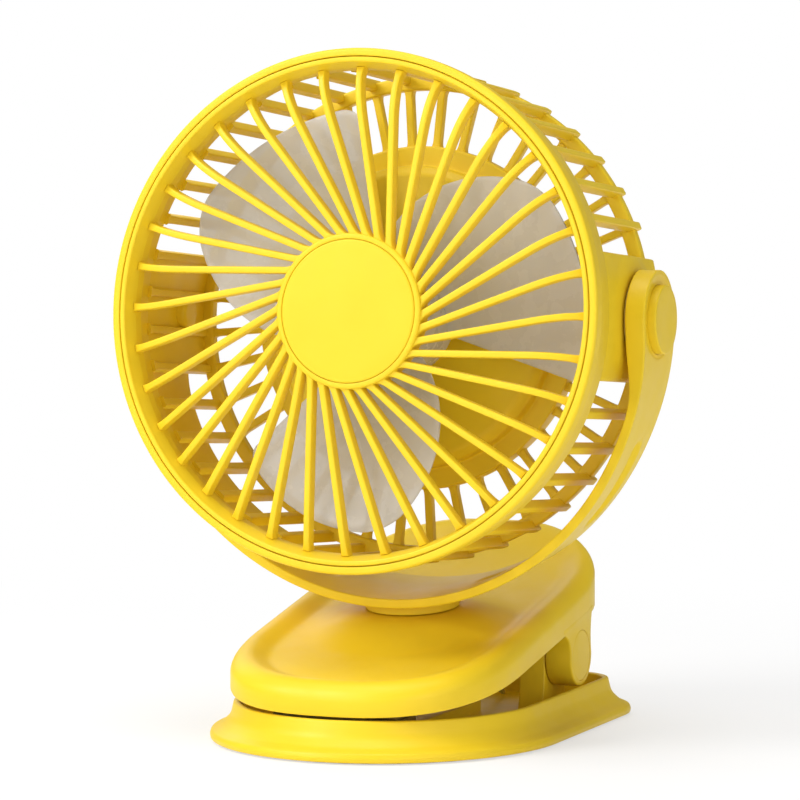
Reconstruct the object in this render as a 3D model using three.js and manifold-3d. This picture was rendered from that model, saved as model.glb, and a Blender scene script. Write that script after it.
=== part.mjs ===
// A small rechargeable clip fan: a drum-shaped fan head in a U-shaped yoke, on a spring clip that also
// stands on a table. Millimetres, +Z up, the fan faces -Y. The origin is on the ground under the tilt pivot.
import * as THREE from 'three';
import { mergeVertices } from 'three/addons/utils/BufferGeometryUtils.js';
import Module from 'manifold-3d';

const wasm = await Module();
wasm.setup();
const deg = Math.PI / 180;

// Clearances
const seatGap = 0.3;            // between pieces that rest on each other
const runGap = 0.3;             // round a pin, screw or spigot in its hole

// Where the three moving frames stand
const pivotHeight = 119.2;      // tilt pivot above the ground
const seatDistance = 84.5;      // tilt pivot to the swivel seat on the upper jaw
const swivelLean = 6.5;         // the swivel axis leans forward while the clip is closed
const headTilt = 10.3;          // the head looks up from the yoke's own front

// Drum (the fan's round casing); depths are forward of the tilt pivot, along the fan's axis
const drumRadius = 72.5;
const drumFront = 37.6;
const bandLength = 17.6;        // the solid front hoop
const bandTaper = 1.6;          // the hoop is this much smaller at its rear edge
const bandWall = 2.3;
const lipHeight = 2.4;          // step that the grille insert sits on
const lipWidth = 2.2;           // flat front ring left outside the insert
const barCount = 40;
const barWidth = 2.6;
const barHeight = 4.4;
const barTip = 19.3;            // bars end this far behind the pivot
const panelHalfAngle = 14.5;    // the solid side panels that carry the pivots
const panelWall = 2.4;
const rearRingDepth = 17.3;     // rear face of the rear ring, behind the pivot
const rearRingThickness = 3;
const rearRingWidth = 5.8;
const rearRingInset = 1.2;      // the bars stand this far outside the ring
const rearSpokeWidth = 2.2;
const housingRadius = 49.5;     // round housing in the middle of the back
const housingWall = 1.8;
const domeRadius = 43.5;        // its raised front
const domeFront = 5;            // front of the dome, behind the pivot
const domeStep = 7;             // dome above the flat rim that the rear spokes join
const domeChamfer = 2.5;
const housingRear = 18;

// Grille insert
const beadWidth = 3.6;          // rounded front bead
const skirtWall = 1.8;
const skirtDepth = 7.6;
const spokeCount = 36;
const spokeWidth = 2.2;
const spokeDepth = 3.4;
const spokeOffset = 11.2;       // each spoke's straight line misses the centre by this
const spokeStraight = 52;       // where a spoke starts to bend towards the ring
const spokeKnee = 61;
const spokeDrop = 2.6;          // a spoke meets the ring lower than it leaves the hub
const hubRadius = 21.5;
const hubSkirt = 6.3;
const badgeRadius = 19.6;
const badgeThickness = 1.4;

// Rotor and motor
const bladeCount = 3;
const bladeTipRadius = 61.3;
const bladeThickness = 1.4;
const bladeRearDepth = 4;
const bladeFrontDepth = 20;
const bladeRearAngle = -18;     // straight edge, seen from the front
const bladeRootAngle = 84;      // swept edge at the hub
const bladeCorner = 5;
const cupRadius = 17.5;
const cupWall = 1.8;
const cupFront = 25;
const cupRear = 1;
const motorRadius = 12.5;
const motorFront = 17;
const motorSocket = 6;          // height of the ring that holds the motor
const shaftRadius = 1.2;
const shaftFront = 24.2;
const collarRadius = 4.2;       // rotor's boss on the shaft
const collarLength = 5;

// Behind the rear cover
const coverBulge = 2.6;
const coverWall = 1.6;
const batterySize = [44, 22, 6];
const batteryUp = 21;
const boardSize = [32, 46, 1.2];
const boardUp = -14;
const boardDepth = 12.1;        // front face of the board, behind the pivot
const switchSize = [6, 6, 2.6];
const buttonRadius = 6;
const buttonProud = 1.1;
const buttonTravel = 0.6;
const socketSize = [9.2, 3.4, 5.2];
const socketUp = -30;
const lensRadius = 1.6;
const lensUp = -14;
const coverScrewCircle = 36;
const coverScrewCount = 3;
const screwRadius = 1.3;
const screwHeadRadius = 2.6;
const screwHeadHeight = 1.5;
const motorScrewCircle = 8;

// Yoke
const armInside = 72.1;         // half the clear width between the arms
const armThickness = 5.6;
const yokeRadius = 77.8;        // outside of its round bottom
const yokeDrop = 3.6;           // centre of that round below the pivot
const yokeBand = 2.8;           // thickness of the round
const yokeFrontReach = 18;      // front edge at the bottom, forward of the swivel axis
const yokeRearReach = 14.5;
const yokeRearSweep = 16;       // how far the rear edge is drawn forward between the pivots and the bottom
const pivotBossRadius = 13.7;
const neckRadius = 13.7;
const outerRecessHalf = 15;     // shallow long recesses in the yoke's round
const innerRecessHalf = 6;
const recessHalfWidth = 4;
const recessForward = -3;
const recessDepth = 1.2;
const outerRecessAngle = 34;
const innerRecessAngle = 69;

// Tilt pivots
const capRadius = 9.6;
const capThickness = 3.6;
const capProud = 2;
const capMoatRadius = 11.4;     // soft step round the cap
const capMoatDepth = 0.8;
const pivotScrewRadius = 2;
const pivotHeadRadius = 4.1;
const pivotHeadHeight = 2;
const washerRadius = 12;
const washerThickness = 0.5;
const innerBossReach = 4.2;

// Clip: the jaws' hinge and outlines
const hingeBack = 38.1;
const hingeHeight = 19.6;
const hingePinRadius = 2.5;
const hingeCapRadius = 7.4;
const hingeCapThickness = 2;
const earRadius = 9;
const earWidth = 7.7;
const lugWidth = 7.7;
const lugRadius = 8.5;
const jawHalfWidth = 41.5;
const jawFront = 54;
const jawRear = 78;
const jawNose = 46;             // length of the jaw's rounded nose
const jawBluntness = 0.77;      // 1 for an elliptical nose, less for a blunter one
const jawTailCorner = 34;
const jawWall = 2.2;
const jawEdge = 4.5;            // radius of its soft outer edge
const jawDish = 2.2;
const jawEdgeHeight = 31.8;     // rim height above the ground, over the origin
const jawTopSlope = 0.215;
const jawTailCurl = 0.0035;
const jawUnderHeight = 21.9;    // lower edge, over the origin
const jawUnderSlope = 0.19;
const trayClearance = 0.4;      // between the ears and the tray's wall
const trayWall = 1.8;
const trayHeight = 11.1;
const trayFloor = 2;
const skirtFlare = 6.8;
const skirtLip = 2;
const trayFront = 62;
const trayRear = 72.5;
const trayCorner = 19;
const soleThickness = 1;
const soleStand = 0.5;          // the sole stands this far below the skirt
const springWire = 0.8;
const springRadius = 5.2;
const springTurns = 8;
const springPitch = 2.4;
const springLeg = 24;
const padSize = [38, 14, 2];
const padBack = -40;
const retainerRadius = 10.5;
const retainerThickness = 1.2;
const spigotRadius = 7;
const swivelScrewRadius = 1.6;

const material = (name, color, roughness, metalness = 0, opacity = 1) => new THREE.MeshStandardMaterial({
  name, color, roughness, metalness, opacity, transparent: opacity < 1,
});
const yellow = material('yellow_plastic', 0xf0cd32, 0.42);
const smoke = material('smoke_blades', 0xbeb6aa, 0.25, 0, 0.6);
const steel = material('steel', 0xb9bcc0, 0.3, 1);
const rubber = material('rubber', 0x55534e, 0.85);
const green = material('board_green', 0x2f6b45, 0.6);
const silver = material('foil', 0xc9ccd0, 0.45, 0.6);
const dark = material('dark_plastic', 0x2c2c2e, 0.5);
const clear = material('lens', 0xf4f1e6, 0.2);
const nylon = material('nylon', 0xe9e4d6, 0.5);

// ---- solids -------------------------------------------------------------------------------------------

// A closed geometry as a solid, with its faces turned outwards
function solid(geometry) {
  const bare = new THREE.BufferGeometry();
  bare.setAttribute('position', geometry.getAttribute('position'));
  if (geometry.index) bare.setIndex(geometry.index);
  const merged = mergeVertices(bare, 1e-4);
  const position = merged.getAttribute('position');
  const index = merged.index.array;
  const corner = [0, 1, 2].map(() => new THREE.Vector3());
  const kept = [];
  let volume = 0;
  for (let i = 0; i < index.length; i += 3) {
    const [a, b, c] = [index[i], index[i + 1], index[i + 2]];
    if (a === b || b === c || c === a) continue;
    corner.forEach((v, k) => v.fromBufferAttribute(position, index[i + k]));
    volume += corner[0].dot(corner[1].clone().cross(corner[2]));
    kept.push(a, b, c);
  }
  if (volume < 0) kept.reverse();
  return new wasm.Manifold(new wasm.Mesh({
    numProp: 3, vertProperties: new Float32Array(position.array), triVerts: new Uint32Array(kept),
  }));
}

const join = (parts) => parts.reduce((whole, part) => whole.add(part));
const cut = (body, tools) => tools.reduce((rest, tool) => rest.subtract(tool), body);

function geometryOf(body) {
  const mesh = body.getMesh();
  const geometry = new THREE.BufferGeometry();
  geometry.setAttribute('position', new THREE.BufferAttribute(mesh.vertProperties, 3));
  geometry.setIndex(new THREE.BufferAttribute(mesh.triVerts, 1));
  geometry.computeVertexNormals();
  return geometry;
}

// Turned about Z; the profile is [radius, height] pairs, closed on itself or on the axis
function turned(profile, segments = 40) {
  const onAxis = profile[0][0] === 0;
  const points = (onAxis ? profile : [...profile, profile[0]]).map(([r, h]) => new THREE.Vector2(r, h));
  return new THREE.LatheGeometry(points, segments).rotateX(Math.PI / 2);
}

const rod = (radius, from, to, segments = 12) =>
  turned([[0, from], [radius, from], [radius, to], [0, to]], segments);
const ring = (inside, outside, from, to, segments = 24) =>
  turned([[inside, from], [outside, from], [outside, to], [inside, to]], segments);

// Z becomes +X, X becomes Y and Y becomes Z, so a profile drawn side-on runs across the object
const sideways = (geometry) => geometry.applyMatrix4(new THREE.Matrix4().makeBasis(
  new THREE.Vector3(0, 1, 0), new THREE.Vector3(0, 0, 1), new THREE.Vector3(1, 0, 0)));
const across = (radius, from, to, back, height, segments = 16) =>
  sideways(rod(radius, from, to, segments)).translate(0, back, height);

const prism = (shape, from, to, curveSegments = 2) =>
  new THREE.ExtrudeGeometry(shape, { depth: to - from, bevelEnabled: false, curveSegments }).translate(0, 0, from);

function roundedBox(width, height, corner) {
  const shape = new THREE.Shape();
  const [x, y] = [width / 2 - corner, height / 2 - corner];
  shape.absarc(x, y, corner, 0, Math.PI / 2);
  shape.absarc(-x, y, corner, Math.PI / 2, Math.PI);
  shape.absarc(-x, -y, corner, Math.PI, 1.5 * Math.PI);
  shape.absarc(x, -y, corner, 1.5 * Math.PI, 2 * Math.PI);
  return shape;
}

// A skin over rings of points that all have the same count, closed at both ends on a middle point
function skin(rings, firstPoint, lastPoint) {
  const count = rings[0].length;
  const points = [firstPoint, ...rings.flat(), lastPoint];
  const at = (k, i) => 1 + k * count + (i % count);
  const faces = [];
  for (let i = 0; i < count; i++) {
    faces.push(0, at(0, i), at(0, i + 1));
    for (let k = 0; k + 1 < rings.length; k++) {
      faces.push(at(k, i), at(k + 1, i), at(k + 1, i + 1), at(k, i), at(k + 1, i + 1), at(k, i + 1));
    }
    faces.push(at(rings.length - 1, i), points.length - 1, at(rings.length - 1, i + 1));
  }
  const geometry = new THREE.BufferGeometry();
  geometry.setAttribute('position', new THREE.Float32BufferAttribute(points.flatMap((p) => p.toArray()), 3));
  geometry.setIndex(faces);
  return geometry;
}

const average = (points) =>
  points.reduce((sum, p) => sum.add(p), new THREE.Vector3()).divideScalar(points.length);
const sweep = (rings) => skin(rings, average(rings[0]), average(rings[rings.length - 1]));
const polar = (radius, angle, height = 0) =>
  new THREE.Vector3(radius * Math.cos(angle), radius * Math.sin(angle), height);
const copiesAbout = (count, makePart) => Array.from({ length: count }, (_, k) => makePart(k, (2 * Math.PI * k) / count));
const smooth = (t) => THREE.MathUtils.smoothstep(t, 0, 1);

// ---- fan head, in its own frame: X across, Y up, Z forward ----------------------------------------------

const bandRear = drumFront - bandLength;
const drumRearRadius = drumRadius - bandTaper;
const insertRadius = drumRadius - lipWidth - seatGap;
const rimDepth = domeFront + domeStep;
const cavityFront = domeFront + housingWall;

function drumBand() {
  const inside = drumRearRadius - bandWall;
  const lip = drumFront - lipHeight;
  return turned([
    [inside, bandRear], [drumRearRadius, bandRear], [drumRadius, drumFront - 4], [drumRadius, drumFront - 0.7],
    [drumRadius - 0.7, drumFront], [drumRadius - lipWidth, drumFront], [drumRadius - lipWidth, lip], [inside, lip],
  ]);
}

const drumBar = (angle) => new THREE.BoxGeometry(barHeight, barWidth, bandRear + barTip + 1)
  .translate(drumRearRadius - 0.2 - barHeight / 2, 0, (bandRear + 1 - barTip) / 2).rotateZ(angle);

function sidePanel(side) {
  const [from, to] = [-panelHalfAngle * deg, panelHalfAngle * deg];
  const shape = new THREE.Shape();
  shape.absarc(0, 0, drumRearRadius - 0.1, from, to, false);
  shape.absarc(0, 0, drumRearRadius - panelWall, to, from, true);
  const wall = prism(shape, -barTip - 1, bandRear + 1, 4);
  const face = armInside - 2 * seatGap - washerThickness;
  const boss = turned([
    [0, drumRearRadius - panelWall - innerBossReach], [5.5, drumRearRadius - panelWall - innerBossReach],
    [5.5, drumRearRadius - panelWall - 0.5], [15.9, drumRearRadius - 3.2], [16, face - 1.4],
    [14, face - 0.7], [washerRadius + 0.8, face], [0, face],
  ], 24);
  const panel = join([solid(wall), solid(sideways(boss))]);
  const body = panel.subtract(solid(across(pivotScrewRadius + runGap, 40, 90, 0, 0)));
  return side > 0 ? body : body.rotate([0, 0, 180]);
}

// Round housing for the motor's seat, the board and the battery, open to the rear
function housing() {
  const inner = domeRadius - housingWall;
  const seatRadius = housingRadius - housingWall;
  const ledge = housingRear - 3.8;
  return turned([
    [0, -domeFront], [domeRadius - domeChamfer, -domeFront], [domeRadius, -domeFront - domeChamfer],
    [domeRadius, -rimDepth], [housingRadius, -rimDepth], [housingRadius, -housingRear],
    [seatRadius, -housingRear], [seatRadius, -ledge], [inner, -ledge], [inner, -cavityFront],
    [0, -cavityFront],
  ], 40);
}

function drumBody() {
  const ringOutside = drumRearRadius - rearRingInset;
  const ringInside = ringOutside - rearRingWidth;
  const ringFront = rearRingThickness - rearRingDepth;
  const first = Math.PI / barCount;
  const bars = copiesAbout(barCount, (k, turn) => solid(drumBar(turn + first)));
  const spokes = copiesAbout(barCount, (k, turn) => solid(new THREE.BoxGeometry(
    ringInside - housingRadius + 1.6, rearSpokeWidth, rearRingThickness)
    .translate((ringInside + housingRadius) / 2, 0, ringFront - rearRingThickness / 2 + 0.02).rotateZ(turn + first)));
  const motorRing = ring(motorRadius + seatGap, motorRadius + 2, -domeFront - 1, motorSocket - domeFront, 24);
  const whole = join([
    solid(drumBand()), ...bars, sidePanel(1), sidePanel(-1), ...spokes,
    solid(ring(ringInside, ringOutside, -rearRingDepth, ringFront, barCount)), solid(housing()), solid(motorRing),
    ...coverScrewPlaces().map((p) => solid(rod(3, boardDepth - housingRear + 2.2 - boardDepth, -cavityFront + 1)
      .translate(p.x, p.y, 0))),
    ...boardPegs().map((p) => solid(rod(2, -boardDepth + seatGap, -cavityFront + 1).translate(p.x, p.y, 0))),
  ]);
  return cut(whole, [
    ...coverScrewPlaces().map((p) => solid(rod(screwRadius + runGap, -housingRear, -cavityFront - 1)
      .translate(p.x, p.y, 0))),
    ...motorScrewPlaces().map((p) => solid(rod(screwRadius + runGap, -cavityFront - 1, 0).translate(p.x, p.y, 0))),
  ]);
}

const coverScrewPlaces = () => copiesAbout(coverScrewCount, (k, turn) => polar(coverScrewCircle, turn + Math.PI / 2));
const motorScrewPlaces = () => [polar(motorScrewCircle, 0), polar(motorScrewCircle, Math.PI)];
const boardPegs = () => [-1, 1].map((side) => new THREE.Vector3(side * (boardSize[0] / 2 - 4), boardUp, 0));

// One swirled spoke: straight past the centre, then bent to meet the ring square on
function grilleSpoke(turn) {
  const along = (s, lift) => new THREE.Vector3(s, -spokeOffset, lift);
  const top = drumFront - 0.7;
  const start = Math.sqrt((hubRadius - 1) ** 2 - spokeOffset ** 2);
  const knee = along(spokeKnee, top);
  const ringRadius = insertRadius - beadWidth + skirtWall * 0.6;
  const end = knee.clone().setZ(0).setLength(ringRadius).setZ(top - spokeDrop);
  const bend = new THREE.QuadraticBezierCurve3(along(spokeStraight, top), knee, end);
  const path = [along(start, top), ...bend.getPoints(3)];
  const rings = path.map((point, k) => {
    const ahead = path[Math.min(k + 1, path.length - 1)].clone().sub(path[Math.max(k - 1, 0)]).setZ(0).normalize();
    const side = new THREE.Vector3(-ahead.y, ahead.x, 0).multiplyScalar(spokeWidth / 2);
    const section = [[-1, -spokeDepth], [1, -spokeDepth], [0.7, 0], [-0.7, 0]];
    return section.map(([w, h]) => point.clone().addScaledVector(side, w).add(new THREE.Vector3(0, 0, h)));
  });
  return sweep(rings).rotateZ(turn);
}

function frontGrille() {
  const inside = insertRadius - beadWidth;
  const lip = drumFront - lipHeight + seatGap;
  const hoop = turned([
    [inside, drumFront - skirtDepth], [inside + skirtWall, drumFront - skirtDepth], [inside + skirtWall, lip],
    [insertRadius, lip], [insertRadius, drumFront - 0.8], [insertRadius - 1.2, drumFront + 0.1],
    [inside + 0.6, drumFront - 0.6], [inside, drumFront - 2],
  ], spokeCount);
  const pocket = badgeRadius + seatGap;
  const pocketFloor = drumFront + 0.2 - badgeThickness;
  const hub = turned([
    [0, drumFront - 4], [hubRadius - 2, drumFront - 4], [hubRadius - 2, drumFront - hubSkirt],
    [hubRadius, drumFront - hubSkirt], [hubRadius, drumFront - 0.6], [hubRadius - 0.7, drumFront + 0.2],
    [pocket, drumFront + 0.2], [pocket, pocketFloor], [0, pocketFloor],
  ], 30);
  return join([solid(hoop), solid(hub), ...copiesAbout(spokeCount, (k, turn) => solid(grilleSpoke(turn)))]);
}

function hubBadge() {
  const back = drumFront + 0.2 - badgeThickness + seatGap;
  const front = drumFront + 0.3;
  return turned([[0, back], [badgeRadius, back], [badgeRadius, front - 0.5], [badgeRadius - 0.5, front],
    [0, front + 0.3]], 36);
}

// One broad paddle: a straight edge, a swept edge and a steady twist from the first to the second
function blade(turn) {
  const [radialSteps, chordSteps] = [6, 5];
  const root = cupRadius - 0.8;
  const corner = bladeTipRadius - bladeCorner;
  const half = bladeThickness / 2;
  const place = (i, j, side) => {
    const r = root + ((bladeTipRadius - root) * i) / radialSteps;
    const swept = bladeRootAngle - 0.85 * (r - cupRadius) - 0.0062 * (r - cupRadius) ** 2;
    const trim = r > corner ? 6.5 * (1 - Math.sqrt(Math.max(0, 1 - ((r - corner) / bladeCorner) ** 2))) : 0;
    const t = j / chordSteps;
    const angle = THREE.MathUtils.lerp(bladeRearAngle + trim, swept - trim, t) * deg;
    const camber = 1.6 * Math.sin(Math.PI * t);
    const depth = THREE.MathUtils.lerp(bladeRearDepth, bladeFrontDepth, t) + camber;
    return polar(r, angle + turn, depth + side * half);
  };
  const rings = Array.from({ length: radialSteps + 1 }, (_, i) => [
    ...Array.from({ length: chordSteps + 1 }, (_, j) => place(i, j, -1)),
    ...Array.from({ length: chordSteps + 1 }, (_, j) => place(i, chordSteps - j, 1)),
  ]);
  return stripSweep(rings);
}

// As sweep, for long thin sections: each end is closed by strips across it
function stripSweep(rings) {
  const count = rings[0].length;
  const at = (k, i) => k * count + (i % count);
  const last = rings.length - 1;
  const faces = [];
  for (let k = 0; k < last; k++) {
    for (let i = 0; i < count; i++) {
      faces.push(at(k, i), at(k + 1, i), at(k + 1, i + 1), at(k, i), at(k + 1, i + 1), at(k, i + 1));
    }
  }
  for (let i = 0; i + 1 < count / 2; i++) {
    const [a, b, c, d] = [i, i + 1, count - 2 - i, count - 1 - i];
    faces.push(at(0, a), at(0, b), at(0, c), at(0, a), at(0, c), at(0, d));
    faces.push(at(last, a), at(last, c), at(last, b), at(last, a), at(last, d), at(last, c));
  }
  const geometry = new THREE.BufferGeometry();
  const points = rings.flat().flatMap((p) => p.toArray());
  geometry.setAttribute('position', new THREE.Float32BufferAttribute(points, 3));
  geometry.setIndex(faces);
  return geometry;
}

function bladeRotor() {
  const cup = turned([
    [0, cupFront - cupWall], [cupRadius - cupWall, cupFront - cupWall],
    [cupRadius - cupWall, cupRear], [cupRadius, cupRear], [cupRadius, cupFront - 2],
    [cupRadius - 2, cupFront], [0, cupFront],
  ], 24);
  const collar = rod(collarRadius, cupFront - cupWall - collarLength, cupFront - 1);
  const bore = rod(shaftRadius + 0.05, cupFront - cupWall - collarLength - 1, shaftFront + seatGap);
  const blades = copiesAbout(bladeCount, (k, turn) => solid(blade(turn)));
  const hollow = rod(cupRadius - cupWall, cupRear - 1, cupFront - cupWall - 0.01, 24);
  return cut(join([solid(cup), ...blades]), [solid(hollow)]).add(solid(collar)).subtract(solid(bore));
}

function motor() {
  const back = seatGap - domeFront;
  return turned([[0, back], [motorRadius, back], [motorRadius, motorFront - 1], [motorRadius - 1, motorFront],
    [3.4, motorFront], [3.4, motorFront + 1.2], [shaftRadius + runGap, motorFront + 1.2],
    [shaftRadius + runGap, motorFront - 4], [0, motorFront - 4]], 24);
}

const motorWithHoles = () => cut(solid(motor()), motorScrewPlaces().map((p) =>
  solid(rod(screwRadius + runGap, -domeFront - 1, 0).translate(p.x, p.y, 0))));

// A round-headed screw that points along +Z, its head's seat at height 0
const screw = (radius, headRadius, headHeight, length) => turned([
  [0, -headHeight], [headRadius - 0.5, -headHeight], [headRadius, 0.5 - headHeight], [headRadius, 0],
  [radius, 0], [radius, length], [0, length],
], 12);

const coverInside = () => housingRear + coverBulge - coverWall;

function rearCover() {
  const outside = housingRadius - housingWall - seatGap;
  const rear = housingRear + coverBulge;
  const seat = housingRear - 3.8 + seatGap;
  const shell = turned([
    [0, -rear], [outside * 0.7, -rear + 0.1], [outside * 0.93, -rear + 1.2], [outside, -housingRear + 0.2],
    [outside, -seat], [outside - coverWall, -seat], [outside - coverWall, -housingRear + 0.6],
    [outside * 0.7, -rear + 0.1 + coverWall], [0, -rear + coverWall],
  ], 36);
  const sleeves = coverScrewPlaces().map((p) => solid(rod(screwHeadRadius + 1.2, -rear + 1.2, -seatForScrews())
    .translate(p.x, p.y, 0)));
  const holes = coverScrewPlaces().flatMap((p) => [
    solid(rod(screwRadius + runGap, -rear - 1, 0).translate(p.x, p.y, 0)),
    solid(rod(screwHeadRadius + runGap, -rear - 1, -rear + 2.2).translate(p.x, p.y, 0)),
  ]);
  return cut(join([solid(shell), ...sleeves]), [
    ...holes,
    solid(rod(buttonRadius + runGap, -rear - 1, 0, 24)),
    solid(prism(roundedBox(socketSize[0] + 2 * runGap, socketSize[1] + 2 * runGap, 1.6), -rear - 1, -housingRear + 2)
      .translate(0, socketUp, 0)),
    solid(rod(lensRadius + runGap, -rear - 1, -housingRear + 2).translate(0, lensUp, 0)),
  ]);
}

// The cover's screw sleeves end just short of the housing's bosses
const seatForScrews = () => housingRear - 2.2 + seatGap;

function speedButton() {
  const outside = housingRear + coverBulge + buttonProud;
  const flange = coverInside() - seatGap;
  const stemEnd = boardDepth + boardSize[2] + seatGap + switchSize[2] + buttonTravel + seatGap;
  return turned([[0, -outside], [buttonRadius - 1, -outside], [buttonRadius, -outside + 0.9],
    [buttonRadius, -flange], [buttonRadius + 1.2, -flange], [buttonRadius + 1.2, -flange + 0.9],
    [2, -flange + 0.9], [2, -stemEnd], [0, -stemEnd]], 20);
}

function chargingSocket() {
  const front = -boardDepth - boardSize[2] - seatGap;
  const block = (grow, from, to) => solid(prism(roundedBox(
    socketSize[0] + 2 * grow, socketSize[1] + 2 * grow, 1.5 + grow), from, to).translate(0, socketUp, 0));
  const tongue = solid(new THREE.BoxGeometry(6.4, 0.7, 4).translate(0, socketUp, front - 2.5));
  return block(0, front - socketSize[2], front).subtract(block(-0.4, front - 9, front - 0.8)).add(tongue);
}

// ---- yoke, in the swivel's frame with its origin at the tilt pivot: X across, Y back, Z up ---------------

// Front-on outline: parallel arm ends that thin down into one round band
function yokeOutline() {
  const outer = armInside + armThickness;
  const inner = yokeRadius - yokeBand;
  const top = pivotBossRadius + 1;
  const innerStart = Math.acos((armInside - 0.6) / inner);
  const shape = new THREE.Shape();
  shape.moveTo(outer, top);
  shape.lineTo(outer, -yokeDrop);
  shape.absarc(0, -yokeDrop, outer, 0, -Math.PI, true);
  shape.lineTo(-outer, top);
  shape.lineTo(-armInside, top);
  shape.quadraticCurveTo(-armInside, -14, -armInside + 0.6, -yokeDrop - inner * Math.sin(innerStart));
  shape.absarc(0, -yokeDrop, inner, innerStart - Math.PI, -innerStart, false);
  shape.quadraticCurveTo(armInside, -14, armInside, top);
  return shape;
}

// Side-on outline: round at the pivots, swept forward to the bottom
function yokeSide() {
  const bottom = -yokeDrop - yokeRadius - 1;
  const shape = new THREE.Shape();
  shape.absarc(0, 0, pivotBossRadius, 0, Math.PI, false);
  shape.bezierCurveTo(-pivotBossRadius, -22, -yokeFrontReach, -30, -yokeFrontReach, -58);
  shape.lineTo(-yokeFrontReach, bottom);
  shape.lineTo(yokeRearReach, bottom);
  shape.bezierCurveTo(yokeRearReach - yokeRearSweep, -56, pivotBossRadius - 3, -26, pivotBossRadius, 0);
  return shape;
}

// A shallow oval recess in the yoke's round, cut between two distances from the round's centre
function yokeRecess(angle, halfLength, from, to, side) {
  const outline = new THREE.Shape();
  outline.absellipse(0, 0, halfLength, recessHalfWidth, 0, 2 * Math.PI);
  const geometry = prism(outline, from, to, 6).rotateY(Math.PI / 2 + angle * deg);
  return solid(geometry.translate(0, recessForward, -yokeDrop).scale(side, 1, 1));
}

function yoke() {
  const half = yokeFrontReach + 1;
  const band = solid(prism(yokeOutline(), -half, half, 9).rotateX(Math.PI / 2));
  const side = solid(sideways(prism(yokeSide(), -armInside - 20, armInside + 20, 6)));
  const inner = yokeRadius - yokeBand;
  const neckTop = -yokeDrop - yokeRadius + 1;
  const neck = rod(neckRadius, seatGap - seatDistance, neckTop, 36);
  const spigotEnd = -seatDistance - spigotLength();
  const spigot = rod(spigotRadius, spigotEnd, neckTop, 24);
  const pivots = [-1, 1].flatMap((side) => armHoles().map(([radius, from, to]) =>
    solid(across(radius, from, to, 0, 0, 28).scale(side, 1, 1))));
  const recesses = [-1, 1].flatMap((s) => [
    yokeRecess(outerRecessAngle, outerRecessHalf, yokeRadius - recessDepth, yokeRadius + 3, s),
    yokeRecess(innerRecessAngle, innerRecessHalf, inner - 3, inner + recessDepth - 0.3, s),
  ]);
  return cut(band.intersect(side).add(solid(neck)).add(solid(spigot)), [
    ...pivots, ...recesses,
    solid(rod(swivelScrewRadius + runGap, spigotEnd - 1, -seatDistance + 2)),
  ]);
}

// Each arm: a clearance hole, a pocket for the screw's head and a wider pocket for the cap
function armHoles() {
  const outer = armInside + armThickness;
  const capFloor = outer + capProud - capThickness - seatGap;
  return [
    [pivotScrewRadius + runGap, armInside - 5, outer + 1],
    [pivotHeadRadius + runGap, capFloor - pivotHeadHeight - seatGap, outer + 1],
    [capRadius + runGap, capFloor, outer + 1],
    [capMoatRadius, outer - capMoatDepth, outer + 1],
  ];
}

function pivotCap() {
  const outer = armInside + armThickness + capProud;
  return turned([[0, outer - capThickness], [capRadius, outer - capThickness], [capRadius, outer - 0.5],
    [capRadius - 0.5, outer], [0, outer]], 32);
}

function pivotScrew() {
  const outer = armInside + armThickness;
  const headSeat = outer + capProud - capThickness - seatGap - pivotHeadHeight - seatGap + 0.1;
  return screw(pivotScrewRadius, pivotHeadRadius, pivotHeadHeight, headSeat - drumRearRadius + panelWall + 2)
    .rotateX(Math.PI).translate(0, 0, headSeat);
}

// ---- clip -----------------------------------------------------------------------------------------------

// Heights of the upper jaw's rim, lower edge and dished top, from front to back
const seatBack = seatDistance * Math.sin(swivelLean * deg);
const seatHeight = pivotHeight - seatDistance * Math.cos(swivelLean * deg);
const rimHeight = (y) => jawEdgeHeight + jawTopSlope * y + jawTailCurl * Math.max(0, y - 30) ** 2;
const underHeight = (y) => jawUnderHeight + jawUnderSlope * y;
const dishHeight = (y) => rimHeight(y) - jawDish;
const seatPlane = (y) => seatHeight + Math.tan(swivelLean * deg) * (y - seatBack);

function jawTop(x, y) {
  const away = Math.hypot(x, y - seatBack);
  return THREE.MathUtils.lerp(seatPlane(y), dishHeight(y), smooth((away - neckRadius - 0.8) / 18));
}

const noseSteps = 10;
const sideSteps = 4;
const cornerSteps = 4;

// A tongue outline: a rounded nose at the front, straight sides and round corners at the back
function tongue(halfWidth, front, rear, nose, corner, bluntness, inset) {
  const [w, r] = [halfWidth - inset, Math.max(corner - inset, 1)];
  const noseLength = nose - inset;
  const noseCentre = nose - front;
  const back = rear - inset;
  const right = [];
  for (let k = 0; k <= noseSteps; k++) {
    const a = (k / noseSteps) * (Math.PI / 2);
    right.push([w * Math.sin(a) ** bluntness, noseCentre - noseLength * Math.cos(a) ** bluntness]);
  }
  for (let k = 1; k <= sideSteps; k++) right.push([w, noseCentre + ((back - r - noseCentre) * k) / sideSteps]);
  for (let k = 1; k <= cornerSteps; k++) {
    const a = (k / cornerSteps) * (Math.PI / 2);
    right.push([w - r + r * Math.cos(a), back - r + r * Math.sin(a)]);
  }
  const backMiddle = [0, back];
  const left = right.slice(1).reverse().map(([x, y]) => [-x, y]);
  return [...right, backMiddle, ...left];
}

const jawOutline = (inset) => tongue(
  jawHalfWidth, jawFront, jawRear, jawNose, jawTailCorner, jawBluntness, inset);

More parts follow.
